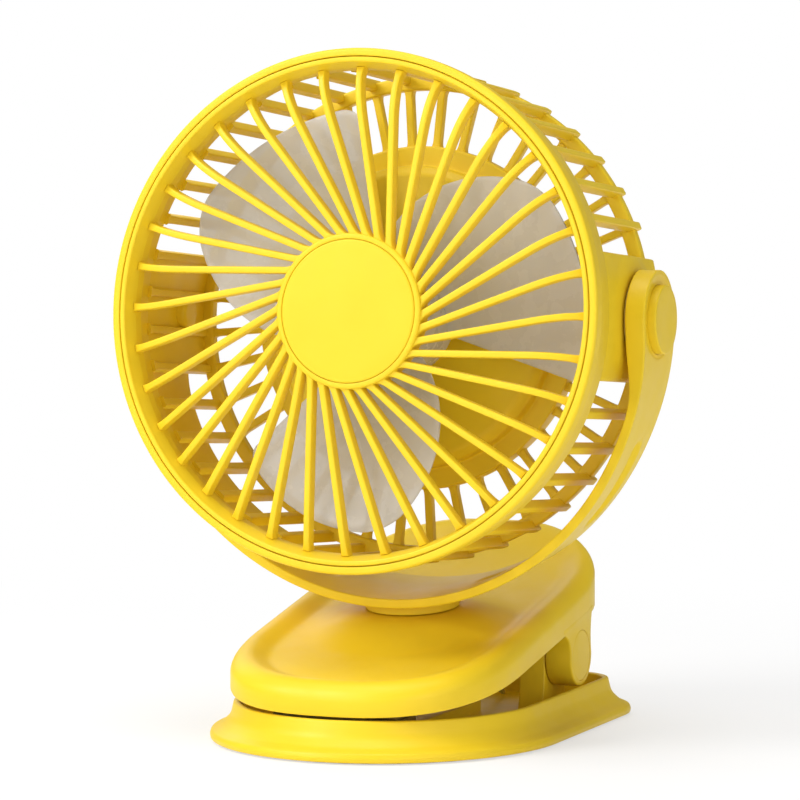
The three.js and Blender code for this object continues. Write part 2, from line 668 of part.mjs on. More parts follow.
function upperJawShell() {
  const lift = (outline, height) => outline.map(([x, y]) => new THREE.Vector3(x, y, height(x, y)));
  const inward = (outline, share) => outline.map(([x, y]) => [x * share, seatBack + (y - seatBack) * share]);
  const dishStart = jawEdge + 7;
  const shares = [0.35, 0.55, 0.78, 1];
  const top = shares.map((share) => lift(inward(jawOutline(dishStart), share), jawTop));
  const crest = [0.5, 0].map((share) => lift(jawOutline(jawEdge + 7 * share), (x, y) =>
    THREE.MathUtils.lerp(rimHeight(y), jawTop(x, y), smooth(share))));
  const edge = [45, 0].map((turn) => lift(jawOutline(jawEdge * (1 - Math.cos(turn * deg))), (x, y) =>
    rimHeight(y) - jawEdge * (1 - Math.sin(turn * deg))));
  const ceiling = (x, y) => dishHeight(y) - jawWall;
  const inside = [
    lift(jawOutline(0), (x, y) => underHeight(y)),
    lift(jawOutline(jawWall), (x, y) => underHeight(y)),
    lift(jawOutline(jawWall), (x, y) => rimHeight(y) - jawEdge - 0.5),
    lift(jawOutline(jawEdge + 2), ceiling),
    lift(inward(jawOutline(jawEdge + 2), 0.5), ceiling),
  ];
  return skin([...top, ...crest, ...edge, ...inside],
    new THREE.Vector3(0, seatBack, jawTop(0, seatBack)), new THREE.Vector3(0, seatBack, ceiling(0, seatBack)));
}

// Hinge ear, side-on: a round lobe on the pin, swept forward into the jaw's lower edge
function earShape() {
  const arch = hingeBack - earRadius - 6.5;
  const back = hingeBack + earRadius;
  const shape = new THREE.Shape();
  shape.moveTo(arch, underHeight(arch) + 0.6);
  shape.quadraticCurveTo(hingeBack - earRadius + 0.3, underHeight(arch), hingeBack - earRadius, hingeHeight);
  shape.absarc(hingeBack, hingeHeight, earRadius, Math.PI, 2 * Math.PI, false);
  shape.quadraticCurveTo(back - 1.5, hingeHeight + 7, back + 1, underHeight(back) + 2.5);
  shape.lineTo(arch, underHeight(arch) + 2.5);
  return shape;
}

const earOutside = () => jawHalfWidth - 0.3;
const earInside = () => earOutside() - earWidth;

function upperJaw() {
  const ear = solid(sideways(prism(earShape(), earInside(), earOutside(), 5)));
  const ceilingRib = (x) => {
    const shape = new THREE.Shape();
    const [front, back] = [-30, hingeBack - earRadius - 4];
    shape.moveTo(front, underHeight(front) + 2.5);
    shape.lineTo(back, underHeight(back) + 2.5);
    shape.lineTo(back, dishHeight(back) - 1);
    shape.lineTo(front, dishHeight(front) - 1);
    return solid(sideways(prism(shape, x - 0.8, x + 0.8)));
  };
  const padShelf = solid(prism(roundedBox(padSize[0] + 3, padSize[1] + 3, 2), upperPadTop(), dishHeight(padBack) - 0.6)
    .translate(0, padBack, 0));
  const seat = solid(rod(neckRadius + 0.8, -5, 0, 36).rotateX(swivelLean * deg).translate(0, seatBack, seatHeight));
  const spigotHole = rod(spigotRadius + runGap, -12, 3, 24).rotateX(swivelLean * deg)
    .translate(0, seatBack, seatHeight);
  const whole = join([
    solid(upperJawShell()), seat, ear, ear.mirror([1, 0, 0]), ceilingRib(20), ceilingRib(-20), padShelf,
  ]);
  return cut(whole, [
    solid(spigotHole),
    solid(across(hingePinRadius + runGap, -60, 60, hingeBack, hingeHeight)),
    ...[-1, 1].map((side) => solid(across(hingeCapRadius + runGap, earOutside() - hingeCapThickness - seatGap,
      earOutside() + 5, hingeBack, hingeHeight, 28).scale(side, 1, 1))),
  ]);
}

// The spigot runs through the jaw's top wall and a little beyond it
const spigotLength = () => seatHeight - dishHeight(seatBack) + jawWall + 0.9;
const lowerPadTop = () => underHeight(padBack) - 3.6;
const upperPadTop = () => lowerPadTop() + seatGap + padSize[2] + seatGap;

const trayOutline = (inset) => tongue(
  trayHalfWidth(), trayFront, trayRear, trayNose(), trayCorner, 1, inset);
const trayHalfWidth = () => jawHalfWidth + trayClearance + trayWall + skirtFlare;
const trayNose = () => jawNose + trayHalfWidth() - jawHalfWidth;

// Tray with a flared skirt: an upright rim, a concave sweep and a thin round lip on the table
function lowerJawShell() {
  const base = soleStand;
  const floor = trayFloorTop();
  const recess = soleThickness + seatGap;
  const outside = [
    [3, recess], [3, base], [0.7, base], [0, base + 0.7], [0.3, base + skirtLip - 0.3],
    [skirtFlare * 0.5, base + 3.6], [skirtFlare * 0.85, base + 6], [skirtFlare, trayHeight - 0.3],
    [skirtFlare + 0.4, trayHeight], [skirtFlare + trayWall, trayHeight - 0.3], [skirtFlare + trayWall, floor],
  ];
  const ringAt = ([inset, height]) => trayOutline(inset).map(([x, y]) => new THREE.Vector3(x, y, height));
  return skin(outside.map(ringAt), new THREE.Vector3(0, 0, recess), new THREE.Vector3(0, 0, floor));
}

function lugShape() {
  const floor = soleStand + trayFloor;
  const shape = new THREE.Shape();
  shape.moveTo(hingeBack - lugRadius - 3, floor);
  shape.quadraticCurveTo(hingeBack - lugRadius, floor + 3, hingeBack - lugRadius, hingeHeight);
  shape.absarc(hingeBack, hingeHeight, lugRadius, Math.PI, 0, true);
  shape.quadraticCurveTo(hingeBack + lugRadius, floor + 3, hingeBack + lugRadius + 3, floor);
  return shape;
}

function lowerJaw() {
  const outside = earInside() - seatGap;
  const lug = solid(sideways(prism(lugShape(), outside - lugWidth, outside, 5)));
  const floorRib = (x) => solid(new THREE.BoxGeometry(1.6, 60, 4).translate(x, -4, soleStand + trayFloor + 2));
  const shelf = solid(prism(roundedBox(padSize[0] + 3, padSize[1] + 3, 2), soleStand + trayFloor,
    lowerPadTop() - padSize[2] - seatGap).translate(0, padBack, 0));
  const whole = join([solid(lowerJawShell()), lug, lug.mirror([1, 0, 0]), floorRib(14), floorRib(-14), shelf]);
  return whole.subtract(solid(across(hingePinRadius + runGap, -60, 60, hingeBack, hingeHeight)));
}

function sole() {
  const edge = (height) => trayOutline(3 + seatGap).map(([x, y]) => new THREE.Vector3(x, y, height));
  return skin([edge(0), edge(soleThickness)], new THREE.Vector3(0, 0, 0), new THREE.Vector3(0, 0, soleThickness));
}

// Torsion spring: one unbroken wire, from the leg under the tail, round the pin, to the leg on the tray's floor
function springPath() {
  const halfLength = (springTurns * springPitch) / 2;
  const point = (x, angle) => new THREE.Vector3(x, hingeBack + springRadius * Math.cos(angle),
    hingeHeight + springRadius * Math.sin(angle));
  const first = springLegAngle(1);
  const last = springLegAngle(-1);
  const sweepAngle = springTurns * 2 * Math.PI + last - first;
  const steps = springTurns * 8;
  const coil = Array.from({ length: steps + 1 }, (_, k) =>
    point(-halfLength + (2 * halfLength * k) / steps, first + (sweepAngle * k) / steps));
  const leg = (from, angle, side) => from.clone().add(new THREE.Vector3(0,
    side * springLeg * Math.sin(angle), -side * springLeg * Math.cos(angle)));
  return [leg(coil[0], first, 1), ...coil, leg(coil[steps], last, -1)];
}

// Where the coil ends, so that its straight leg just reaches the tail's ceiling (1) or the tray's floor (-1)
function springLegAngle(side) {
  const clear = seatGap + springWire;
  const room = (angle) => {
    const y = hingeBack + springRadius * Math.cos(angle) + side * springLeg * Math.sin(angle);
    const z = hingeHeight + springRadius * Math.sin(angle) - side * springLeg * Math.cos(angle);
    return side > 0 ? dishHeight(y) - jawWall - clear - z : z - clear - trayFloorTop();
  };
  let [near, far] = side > 0 ? [100 * deg, 170 * deg] : [265 * deg, 215 * deg];
  for (let k = 0; k < 30; k++) {
    const middle = (near + far) / 2;
    if (room(middle) > 0) near = middle;
    else far = middle;
  }
  return near;
}

const trayFloorTop = () => soleStand + trayFloor + soleThickness;

function springWireGeometry() {
  const path = springPath();
  const rings = path.map((point, k) => {
    const ahead = path[Math.min(k + 1, path.length - 1)].clone().sub(path[Math.max(k - 1, 0)]).normalize();
    const out = point.clone().sub(new THREE.Vector3(point.x, hingeBack, hingeHeight));
    out.addScaledVector(ahead, -out.dot(ahead)).normalize();
    const side = ahead.clone().cross(out);
    return Array.from({ length: 5 }, (_, i) => point.clone()
      .addScaledVector(out, springWire * Math.cos((i / 5) * 2 * Math.PI))
      .addScaledVector(side, springWire * Math.sin((i / 5) * 2 * Math.PI)));
  });
  return sweep(rings);
}

function leastSpringGap() {
  const path = springPath().slice(1, -1);
  let least = Infinity;
  path.forEach((a, i) => path.forEach((b, j) => {
    if (j > i + 4) least = Math.min(least, a.distanceTo(b) - 2 * springWire);
  }));
  return least;
}

// ---- the assembly -----------------------------------------------------------------------------------------

const fan = new THREE.Group();
const put = (group, name, shape, look) => {
  const body = shape instanceof THREE.BufferGeometry ? solid(shape) : shape;
  const mesh = new THREE.Mesh(geometryOf(body), look);
  mesh.name = name;
  group.add(mesh);
  return mesh;
};

const swivelGroup = new THREE.Group();
swivelGroup.position.set(0, 0, pivotHeight);
swivelGroup.rotation.x = swivelLean * deg;
const headGroup = new THREE.Group();
headGroup.rotation.x = Math.PI / 2 - headTilt * deg;
swivelGroup.add(headGroup);
fan.add(swivelGroup);

put(fan, 'lower_jaw', lowerJaw(), yellow);
put(fan, 'sole_pad', sole(), rubber);
put(fan, 'upper_jaw', upperJaw(), yellow);
put(fan, 'hinge_pin', across(hingePinRadius, -earOutside() + hingeCapThickness + 2 * seatGap,
  earOutside() - hingeCapThickness - 2 * seatGap, hingeBack, hingeHeight), steel);
for (const [name, side] of [['hinge_cap_right', 1], ['hinge_cap_left', -1]]) {
  put(fan, name, sideways(turned([[0, earOutside() - hingeCapThickness], [hingeCapRadius, earOutside() - hingeCapThickness],
    [hingeCapRadius, earOutside() - 0.3], [hingeCapRadius - 0.3, earOutside()], [0, earOutside()]], 28))
    .translate(0, hingeBack, hingeHeight).scale(side, 1, 1), yellow);
}
put(fan, 'clip_spring', springWireGeometry(), steel);
const pad = (bottom) => prism(roundedBox(padSize[0], padSize[1], 1.5), bottom, bottom + padSize[2])
  .translate(0, padBack, 0);
put(fan, 'grip_pad_lower', pad(lowerPadTop() - padSize[2]), rubber);
put(fan, 'grip_pad_upper', pad(lowerPadTop() + seatGap), rubber);

put(swivelGroup, 'yoke', yoke(), yellow);
const retainerTop = -seatDistance - spigotLength() - seatGap;
put(swivelGroup, 'swivel_retainer', ring(swivelScrewRadius + runGap, retainerRadius,
  retainerTop - retainerThickness, retainerTop), nylon);
put(swivelGroup, 'swivel_screw', screw(swivelScrewRadius, 3.2, 1.6, 6)
  .translate(0, 0, retainerTop - retainerThickness - seatGap), steel);

for (const [suffix, side] of [['right', 1], ['left', -1]]) {
  put(swivelGroup, `pivot_cap_${suffix}`, sideways(pivotCap()).scale(side, 1, 1), yellow);
  put(swivelGroup, `pivot_screw_${suffix}`, sideways(pivotScrew()).scale(side, 1, 1), steel);
  put(swivelGroup, `friction_washer_${suffix}`, sideways(ring(pivotScrewRadius + runGap, washerRadius,
    armInside - seatGap - washerThickness, armInside - seatGap)).scale(side, 1, 1), nylon);
}

put(headGroup, 'drum_body', drumBody(), yellow);
put(headGroup, 'front_grille', frontGrille(), yellow);
put(headGroup, 'hub_badge', hubBadge(), yellow);
put(headGroup, 'blade_rotor', bladeRotor(), smoke);
put(headGroup, 'motor', motorWithHoles(), steel);
put(headGroup, 'motor_shaft', rod(shaftRadius, motorFront - 4 + seatGap, shaftFront), steel);
motorScrewPlaces().forEach((p, k) => put(headGroup, `motor_screw_${k + 1}`,
  screw(screwRadius, screwHeadRadius, screwHeadHeight, 5)
    .translate(p.x, p.y, -cavityFront - seatGap), steel));
put(headGroup, 'rear_cover', rearCover(), yellow);
put(headGroup, 'battery', prism(roundedBox(batterySize[0], batterySize[1], 2.5),
  -cavityFront - seatGap - batterySize[2], -cavityFront - seatGap).translate(0, batteryUp, 0), silver);
put(headGroup, 'control_board', prism(roundedBox(boardSize[0], boardSize[1], 1.5),
  -boardDepth - boardSize[2], -boardDepth).translate(0, boardUp, 0), green);
put(headGroup, 'speed_switch', new THREE.BoxGeometry(...switchSize)
  .translate(0, 0, -boardDepth - boardSize[2] - seatGap - switchSize[2] / 2), dark);
put(headGroup, 'speed_button', speedButton(), yellow);
put(headGroup, 'charging_socket', chargingSocket(), steel);
put(headGroup, 'indicator_lens', rod(lensRadius, -housingRear - coverBulge - 0.2, -boardDepth - boardSize[2] - seatGap, 20)
  .translate(0, lensUp, 0), clear);
coverScrewPlaces().forEach((p, k) => put(headGroup, `cover_screw_${k + 1}`,
  screw(screwRadius, screwHeadRadius, screwHeadHeight, 8)
    .translate(p.x, p.y, -housingRear - coverBulge + 2.2 - seatGap), steel));

console.log(`least gap between the clip spring's turns: ${leastSpringGap().toFixed(2)} mm`);

export default fan;
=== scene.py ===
import math
import bpy
import bmesh
from mathutils import Matrix, Vector


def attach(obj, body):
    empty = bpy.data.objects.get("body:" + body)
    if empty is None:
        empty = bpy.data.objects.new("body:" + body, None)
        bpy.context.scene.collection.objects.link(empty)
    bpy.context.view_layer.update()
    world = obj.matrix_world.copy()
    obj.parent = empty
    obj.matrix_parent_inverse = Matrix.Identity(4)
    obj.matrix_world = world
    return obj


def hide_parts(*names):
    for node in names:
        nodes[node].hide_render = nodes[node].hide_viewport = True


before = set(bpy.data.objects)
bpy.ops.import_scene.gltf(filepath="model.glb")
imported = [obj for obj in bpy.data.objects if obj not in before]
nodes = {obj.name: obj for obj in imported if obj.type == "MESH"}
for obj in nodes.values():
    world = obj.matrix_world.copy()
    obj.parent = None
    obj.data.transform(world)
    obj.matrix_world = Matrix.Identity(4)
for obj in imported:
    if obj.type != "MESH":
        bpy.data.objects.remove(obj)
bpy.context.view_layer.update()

# Millimetres and degrees; the head looks along its own Z, with X across and Y up
stand = {"pivotHeight": 119.2, "swivelLean": 6.5, "headTilt": 10.3, "seatDistance": 84.5}

toMetres = Matrix.Scale(0.001, 4)
yokeFrame = (toMetres @ Matrix.Translation((0, 0, stand["pivotHeight"]))
             @ Matrix.Rotation(math.radians(stand["swivelLean"]), 4, "X"))
headFrame = yokeFrame @ Matrix.Rotation(math.radians(90 - stand["headTilt"]), 4, "X")
sideways = Matrix(((0, 0, 1, 0), (1, 0, 0, 0), (0, 1, 0, 0), (0, 0, 0, 1)))  # Z to X, X to Y, Y to Z
mergeGap = 0.0005  # points nearer than this become one


def onSide(side):  # 1 is the right, -1 its mirror image
    return Matrix.Scale(side, 4, (1, 0, 0))


# Finishes: two close colours in soft patches, an uneven gloss and a fine grain

def nodesFor(name):
    finish = bpy.data.materials.new(name)
    finish.use_nodes = True
    tree = finish.node_tree
    shader = tree.nodes["Principled BSDF"]
    coords = tree.nodes.new("ShaderNodeTexCoord")
    return finish, tree, shader, coords.outputs["Object"]


def cloud(tree, coords, scale, detail=3.0):
    noise = tree.nodes.new("ShaderNodeTexNoise")
    noise.inputs["Scale"].default_value = scale
    noise.inputs["Detail"].default_value = detail
    noise.inputs["Roughness"].default_value = 0.5
    tree.links.new(coords, noise.inputs["Vector"])
    return noise.outputs["Fac"]


def blendColours(tree, fac, low, high):
    ramp = tree.nodes.new("ShaderNodeValToRGB")
    ramp.color_ramp.elements[0].position = 0.35
    ramp.color_ramp.elements[0].color = (*low, 1)
    ramp.color_ramp.elements[1].position = 0.65
    ramp.color_ramp.elements[1].color = (*high, 1)
    tree.links.new(fac, ramp.inputs["Fac"])
    return ramp.outputs["Color"]


def blendNumbers(tree, fac, low, high):
    spread = tree.nodes.new("ShaderNodeMapRange")
    spread.inputs["From Min"].default_value = 0.3
    spread.inputs["From Max"].default_value = 0.7
    spread.inputs["To Min"].default_value = low
    spread.inputs["To Max"].default_value = high
    tree.links.new(fac, spread.inputs["Value"])
    return spread.outputs["Result"]


def bumpFrom(tree, shader, height, strength):
    bump = tree.nodes.new("ShaderNodeBump")
    bump.inputs["Strength"].default_value = strength
    bump.inputs["Distance"].default_value = 0.0002
    tree.links.new(height, bump.inputs["Height"])
    tree.links.new(bump.outputs["Normal"], shader.inputs["Normal"])


def plasticFinish(name, low, high, gloss, grain=1400, graininess=0.05, **sockets):
    finish, tree, shader, coords = nodesFor(name)
    patches = cloud(tree, coords, 45, 2)
    tree.links.new(blendColours(tree, patches, low, high), shader.inputs["Base Color"])
    tree.links.new(blendNumbers(tree, cloud(tree, coords, 160), *gloss), shader.inputs["Roughness"])
    bumpFrom(tree, shader, cloud(tree, coords, grain, 2), graininess)
    for socket, value in sockets.items():
        shader.inputs[socket.replace("_", " ")].default_value = value
    return finish


def metalFinish(name, low, high, gloss, stretch=(1, 1, 60), scale=90):
    finish, tree, shader, coords = nodesFor(name)
    mapping = tree.nodes.new("ShaderNodeMapping")
    mapping.inputs["Scale"].default_value = stretch
    tree.links.new(coords, mapping.inputs["Vector"])
    streaks = cloud(tree, mapping.outputs["Vector"], scale, 4)
    tree.links.new(blendColours(tree, streaks, low, high), shader.inputs["Base Color"])
    tree.links.new(blendNumbers(tree, streaks, *gloss), shader.inputs["Roughness"])
    bumpFrom(tree, shader, streaks, 0.05)
    shader.inputs["Metallic"].default_value = 1.0
    return finish


colours = {
    "yellow": ((0.83, 0.585, 0.018), (0.86, 0.612, 0.022)),
    "smoke": ((0.69, 0.68, 0.655), (0.73, 0.72, 0.695)),
}
yellowPlastic = plasticFinish("yellowPlastic", *colours["yellow"], gloss=(0.38, 0.47),
                              Specular_IOR_Level=0.26)
smokeBlades = plasticFinish("smokeBlades", *colours["smoke"], gloss=(0.22, 0.32), grain=500, graininess=0.02,
                            Alpha=0.74)
# The friction washers' dark amber is painted shade: it stands for the shade in the joint between the yoke arm and
# the drum's side panel
washerPaintedShade = plasticFinish("paintedShadeAmberNylon", (0.50, 0.36, 0.05), (0.56, 0.41, 0.06), gloss=(0.4, 0.55))
nylon = plasticFinish("naturalNylon", (0.72, 0.69, 0.60), (0.78, 0.75, 0.66), gloss=(0.4, 0.55))
soleRubber = plasticFinish("soleRubber", (0.030, 0.028, 0.026), (0.045, 0.043, 0.040), gloss=(0.75, 0.9),
                           grain=900, graininess=0.35)
# The grip pads' amber-brown is painted shade: it stands for the shade in the gap between the upper jaw and the
# tray
gripPaintedShade = plasticFinish("gripPaintedShade", (0.26, 0.18, 0.03), (0.30, 0.21, 0.04), gloss=(0.6, 0.75),
                           grain=800, graininess=0.3)
blackPlastic = plasticFinish("blackPlastic", (0.012, 0.012, 0.013), (0.02, 0.02, 0.021), gloss=(0.4, 0.5))
greenBoard = plasticFinish("greenBoard", (0.010, 0.085, 0.035), (0.014, 0.115, 0.048), gloss=(0.25, 0.4),
                           grain=700, graininess=0.15)
lightPipe = plasticFinish("frostedLightPipe", (0.80, 0.78, 0.70), (0.86, 0.84, 0.76), gloss=(0.2, 0.3),
                          Alpha=0.85)
zincSteel = metalFinish("zincSteel", (0.48, 0.49, 0.50), (0.60, 0.61, 0.63), (0.24, 0.36))
motorCan = metalFinish("motorCan", (0.40, 0.41, 0.42), (0.50, 0.51, 0.52), (0.28, 0.42), (1, 1, 0.05), 120)
foil = metalFinish("batteryFoil", (0.55, 0.56, 0.58), (0.66, 0.67, 0.69), (0.3, 0.5), (1, 1, 1), 220)
print("finishes made")


# Curves and shapes

def meshOf(name, bm):
    mesh = bpy.data.meshes.new(name)
    bm.to_mesh(mesh)
    bm.free()
    return mesh


def linked(name, data):
    thing = bpy.data.objects.new(name, data)
    bpy.context.scene.collection.objects.link(thing)
    return thing


def vertsIn(geom):
    return [item for item in geom if isinstance(item, bmesh.types.BMVert)]


def bends(start, corner, end, steps, skip=0):  # points on a curve that leans on the corner
    a, b, c = Vector(start), Vector(corner), Vector(end)
    return [a.lerp(b, k / steps).lerp(b.lerp(c, k / steps), k / steps) for k in range(skip, steps + 1)]


def arc(centre, radius, first, sweep, steps):  # without its first point
    turns = [first + sweep * k / steps for k in range(1, steps + 1)]
    return [Vector((centre[0] + radius * math.cos(a), centre[1] + radius * math.sin(a))) for a in turns]


def softened(corners, closed=True, steps=6):  # corners are (across, up, radius of the rounding)
    points = []
    for k, corner in enumerate(corners):
        here = Vector(corner[:2])
        radius = corner[2] if len(corner) > 2 else 0
        if not radius or (not closed and k in (0, len(corners) - 1)):
            points.append(here)
            continue
        back = Vector(corners[k - 1][:2]) - here
        ahead = Vector(corners[(k + 1) % len(corners)][:2]) - here
        reach = min(radius / math.tan(back.angle(ahead) / 2), 0.48 * back.length, 0.48 * ahead.length)
        points += bends(here + back.normalized() * reach, here, here + ahead.normalized() * reach, steps)
    return points


def smooth(t):
    t = min(max(t, 0.0), 1.0)
    return t * t * (3 - 2 * t)


def mix(a, b, t):
    return a + (b - a) * t


def turned(corners, steps=160, onAxis=False):  # spun about Z
    bm = bmesh.new()
    line = [bm.verts.new((p.x, 0, p.y)) for p in softened(corners, closed=not onAxis)]
    edges = [bm.edges.new(pair) for pair in zip(line, line[1:])]
    if not onAxis:
        edges.append(bm.edges.new((line[-1], line[0])))
    bmesh.ops.spin(bm, geom=line + edges, cent=(0, 0, 0), axis=(0, 0, 1), angle=2 * math.pi, steps=steps,
                   use_merge=True, use_duplicate=False)
    bmesh.ops.remove_doubles(bm, verts=bm.verts, dist=mergeGap)
    return bm


def firstRing(bm, points):
    ring = [bm.verts.new(p) for p in points]
    for k, vert in enumerate(ring):
        bm.edges.new((vert, ring[(k + 1) % len(ring)]))
    return ring


def nextRing(bm, ring, points):  # extrudes the ring's edges and sets the new ring on the points
    edges = [bm.edges.get((vert, ring[(k + 1) % len(ring)])) for k, vert in enumerate(ring)]
    made = bmesh.ops.extrude_edge_only(bm, edges=edges)["geom"]
    fresh = set(vertsIn(made))
    grown = []
    for vert in ring:
        grown.append(next(e.other_vert(vert) for e in vert.link_edges if e.other_vert(vert) in fresh))
    for vert, point in zip(grown, points):
        vert.co = point
    return grown


def lofted(rings):  # a closed skin through rings of the same count, with flat ends
    bm = bmesh.new()
    ring = firstRing(bm, rings[0])
    for points in rings[1:]:
        ring = nextRing(bm, ring, points)
    bmesh.ops.remove_doubles(bm, verts=bm.verts, dist=mergeGap)
    bmesh.ops.holes_fill(bm, edges=[e for e in bm.edges if e.is_boundary], sides=0)
    return bm


def slab(outline, low, high, soften=0.0, segments=3):  # an outline pulled up along Z, with rounded rims
    bm = bmesh.new()
    face = bm.faces.new([bm.verts.new((p[0], p[1], low)) for p in outline])
    raised = bmesh.ops.extrude_face_region(bm, geom=[face])["geom"]
    bmesh.ops.translate(bm, vec=(0, 0, high - low), verts=vertsIn(raised))
    if soften:
        rims = [e for e in bm.edges if abs(e.verts[0].co.z - e.verts[1].co.z) < 1e-6]
        bmesh.ops.bevel(bm, geom=rims, offset=soften, segments=segments, profile=0.5,
                        affect="EDGES", material=-1)
    bmesh.ops.recalc_face_normals(bm, faces=bm.faces)
    return bm


def roundedRect(halfWidth, halfHeight, radius, steps=4):
    return softened([(-halfWidth, -halfHeight, radius), (halfWidth, -halfHeight, radius),
                     (halfWidth, halfHeight, radius), (-halfWidth, halfHeight, radius)], steps=steps)


def circle(radius, steps):
    turns = [2 * math.pi * k / steps for k in range(steps)]
    return [(radius * math.cos(turn), radius * math.sin(turn)) for turn in turns]


def placed(bm, matrix):
    bmesh.ops.transform(bm, matrix=matrix, verts=bm.verts)
    return bm


def gathered(parts):  # several shells in one bmesh
    whole = bmesh.new()
    for part in parts:
        mesh = meshOf("part", part)
        whole.from_mesh(mesh)
        bpy.data.meshes.remove(mesh)
    return whole


def spunCopies(bm, count, first=0.0):  # the same shape again and again round Z
    placed(bm, Matrix.Rotation(math.radians(first), 4, "Z"))
    shape = bm.verts[:] + bm.edges[:] + bm.faces[:]
    for k in range(1, count):
        again = bmesh.ops.duplicate(bm, geom=shape)["geom"]
        bmesh.ops.rotate(bm, cent=(0, 0, 0), matrix=Matrix.Rotation(2 * math.pi * k / count, 3, "Z"),
                         verts=vertsIn(again))
    return bm


def loose(name, bm):
    bmesh.ops.recalc_face_normals(bm, faces=bm.faces)
    return linked(name, meshOf(name, bm))


def carved(bm, cutters):  # takes the cutters out of the shape
    block = loose("block", bm)
    tools = [loose("cutter", cutter) for cutter in cutters]
    for tool in tools:
        cut = block.modifiers.new("cut", "BOOLEAN")
        cut.operation = "DIFFERENCE"
        cut.solver = "EXACT"
        cut.object = tool
    ready = block.evaluated_get(bpy.context.evaluated_depsgraph_get())
    mesh = bpy.data.meshes.new_from_object(ready)
    result = bmesh.new()
    result.from_mesh(mesh)
    bmesh.ops.remove_doubles(result, verts=result.verts, dist=mergeGap)
    for thing in [block] + tools:
        bpy.data.objects.remove(thing)
    bpy.data.meshes.remove(mesh)
    return result


def finished(name, bm, place, body, replaced, finish=yellowPlastic,
             crease=34):
    bmesh.ops.transform(bm, matrix=place, verts=bm.verts)
    bmesh.ops.recalc_face_normals(bm, faces=bm.faces)
    for face in bm.faces:
        face.smooth = True
    for edge in bm.edges:
        edge.smooth = len(edge.link_faces) == 2 and edge.calc_face_angle(0) < math.radians(crease)
    mesh = meshOf(name, bm)
    mesh.materials.append(finish)
    piece = linked(name, mesh)
    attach(piece, body)
    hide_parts(*replaced)
    print(name, len(mesh.polygons), "faces")
    return piece


# The drum: hoop, bars, side panels, rear ring with its spokes, and the round housing
drum = {
    "radius": 72.5, "front": 37.6, "rear": 22.8, "rearRadius": 70.9, "wall": 2.3,
    "lipWidth": 2.2, "lipHeight": 2.4,
    "barCount": 40, "barWidth": 2.35, "barHeight": 3.2, "barTip": 19.3, "barFlare": 0.5, "barSink": 0.6,
    "panelHalfAngle": 14.5, "panelWall": 2.2, "panelSteps": 40, "panelSink": 3, "bossFace": 71.0,
    "swellRadius": 19.5, "swellFlat": 12.8, "innerBoss": 4.4, "innerBossHeight": 2.7,
    "ringRear": 17.3, "ringThick": 3.7, "ringWide": 4.0, "ringInset": 1.2,
    "spokeWidth": 2.2, "spokeDeep": 3.0, "spokeFlare": 1.2, "spokeSink": 0.8,
    "housingRadius": 49.5, "housingRear": 18.0, "housingWall": 1.8, "ledgeDepth": 3.8,
    "domeRadius": 43.5, "domeFront": 5.0, "domeRear": 12.0, "domeChamfer": 2.5, "insideFront": 5.8,
    "motorRing": 14.5, "motorBore": 12.8, "motorRingRear": 6,
    "postCount": 3, "postCircle": 36, "postRadius": 3, "postBore": 1.6, "postRear": 15.8,
    "pegSpots": ((-12, -14), (12, -14)), "pegRadius": 2, "pegRear": 11.8,
}


def drumHoop():
    inside = drum["rearRadius"] - drum["wall"]
    lip = drum["front"] - drum["lipHeight"]
    return turned([
        (inside, drum["rear"], 0.6), (drum["rearRadius"], drum["rear"], 0.7),
        (drum["radius"], drum["front"] - 4, 6), (drum["radius"], drum["front"], 1.0),
        (drum["radius"] - drum["lipWidth"], drum["front"], 0.35),
        (drum["radius"] - drum["lipWidth"], lip, 0.2), (inside, lip, 0.3),
    ], 240)


def strut(length, width, height, flareStart, flareEnd, tip):  # a bar along Z that widens where it joins
    step, steps, middle = 0.45, 6, 4
    stations = []
    for k in range(steps + 1):
        stations.append((k * step, flareStart * (1 - math.sqrt(1 - (1 - k / steps) ** 2)), 1))
    for k in range(1, middle):
        stations.append((mix(3.0, length - 3.0, k / middle), 0, 1))
    for k in range(steps + 1):  # the last steps close into a round tip
        share = math.sqrt(max(0.04, 1 - ((k - 3) / 3.05) ** 2)) if tip and k > 3 else 1.0
        flare = flareEnd * (1 - math.sqrt(1 - (k / steps) ** 2))
        stations.append((length - 2.7 + k * step, flare, share))
    rings = []
    for z, flare, share in stations:
        rounding = min(width, height) * 0.22 * share
        section = roundedRect((width / 2 + flare) * share, height / 2 * share, rounding, 3)
        rings.append([(p.y, p.x, z) for p in section])
    return lofted(rings)


def drumBars():
    length = drum["rear"] + drum["barTip"] + drum["barSink"]
    bar = strut(length, drum["barWidth"], drum["barHeight"], drum["barFlare"], 0, True)
    middle = drum["rearRadius"] - 0.2 - drum["barHeight"] / 2
    root = Matrix.Translation((middle, 0, drum["rear"] + drum["barSink"]))
    placed(bar, root @ Matrix.Rotation(math.pi, 4, "X"))
    return spunCopies(bar, drum["barCount"], 180 / drum["barCount"])


def rearSpokes(inside, outside):
    flare = drum["spokeFlare"]
    spoke = strut(outside - inside, drum["spokeWidth"], drum["spokeDeep"], flare, flare, False)
    placed(spoke, Matrix.Translation((inside, 0, -drum["ringRear"] + drum["spokeDeep"] / 2))
           @ Matrix.Rotation(math.pi / 2, 4, "Y"))
    return spunCopies(spoke, drum["barCount"], 180 / drum["barCount"])


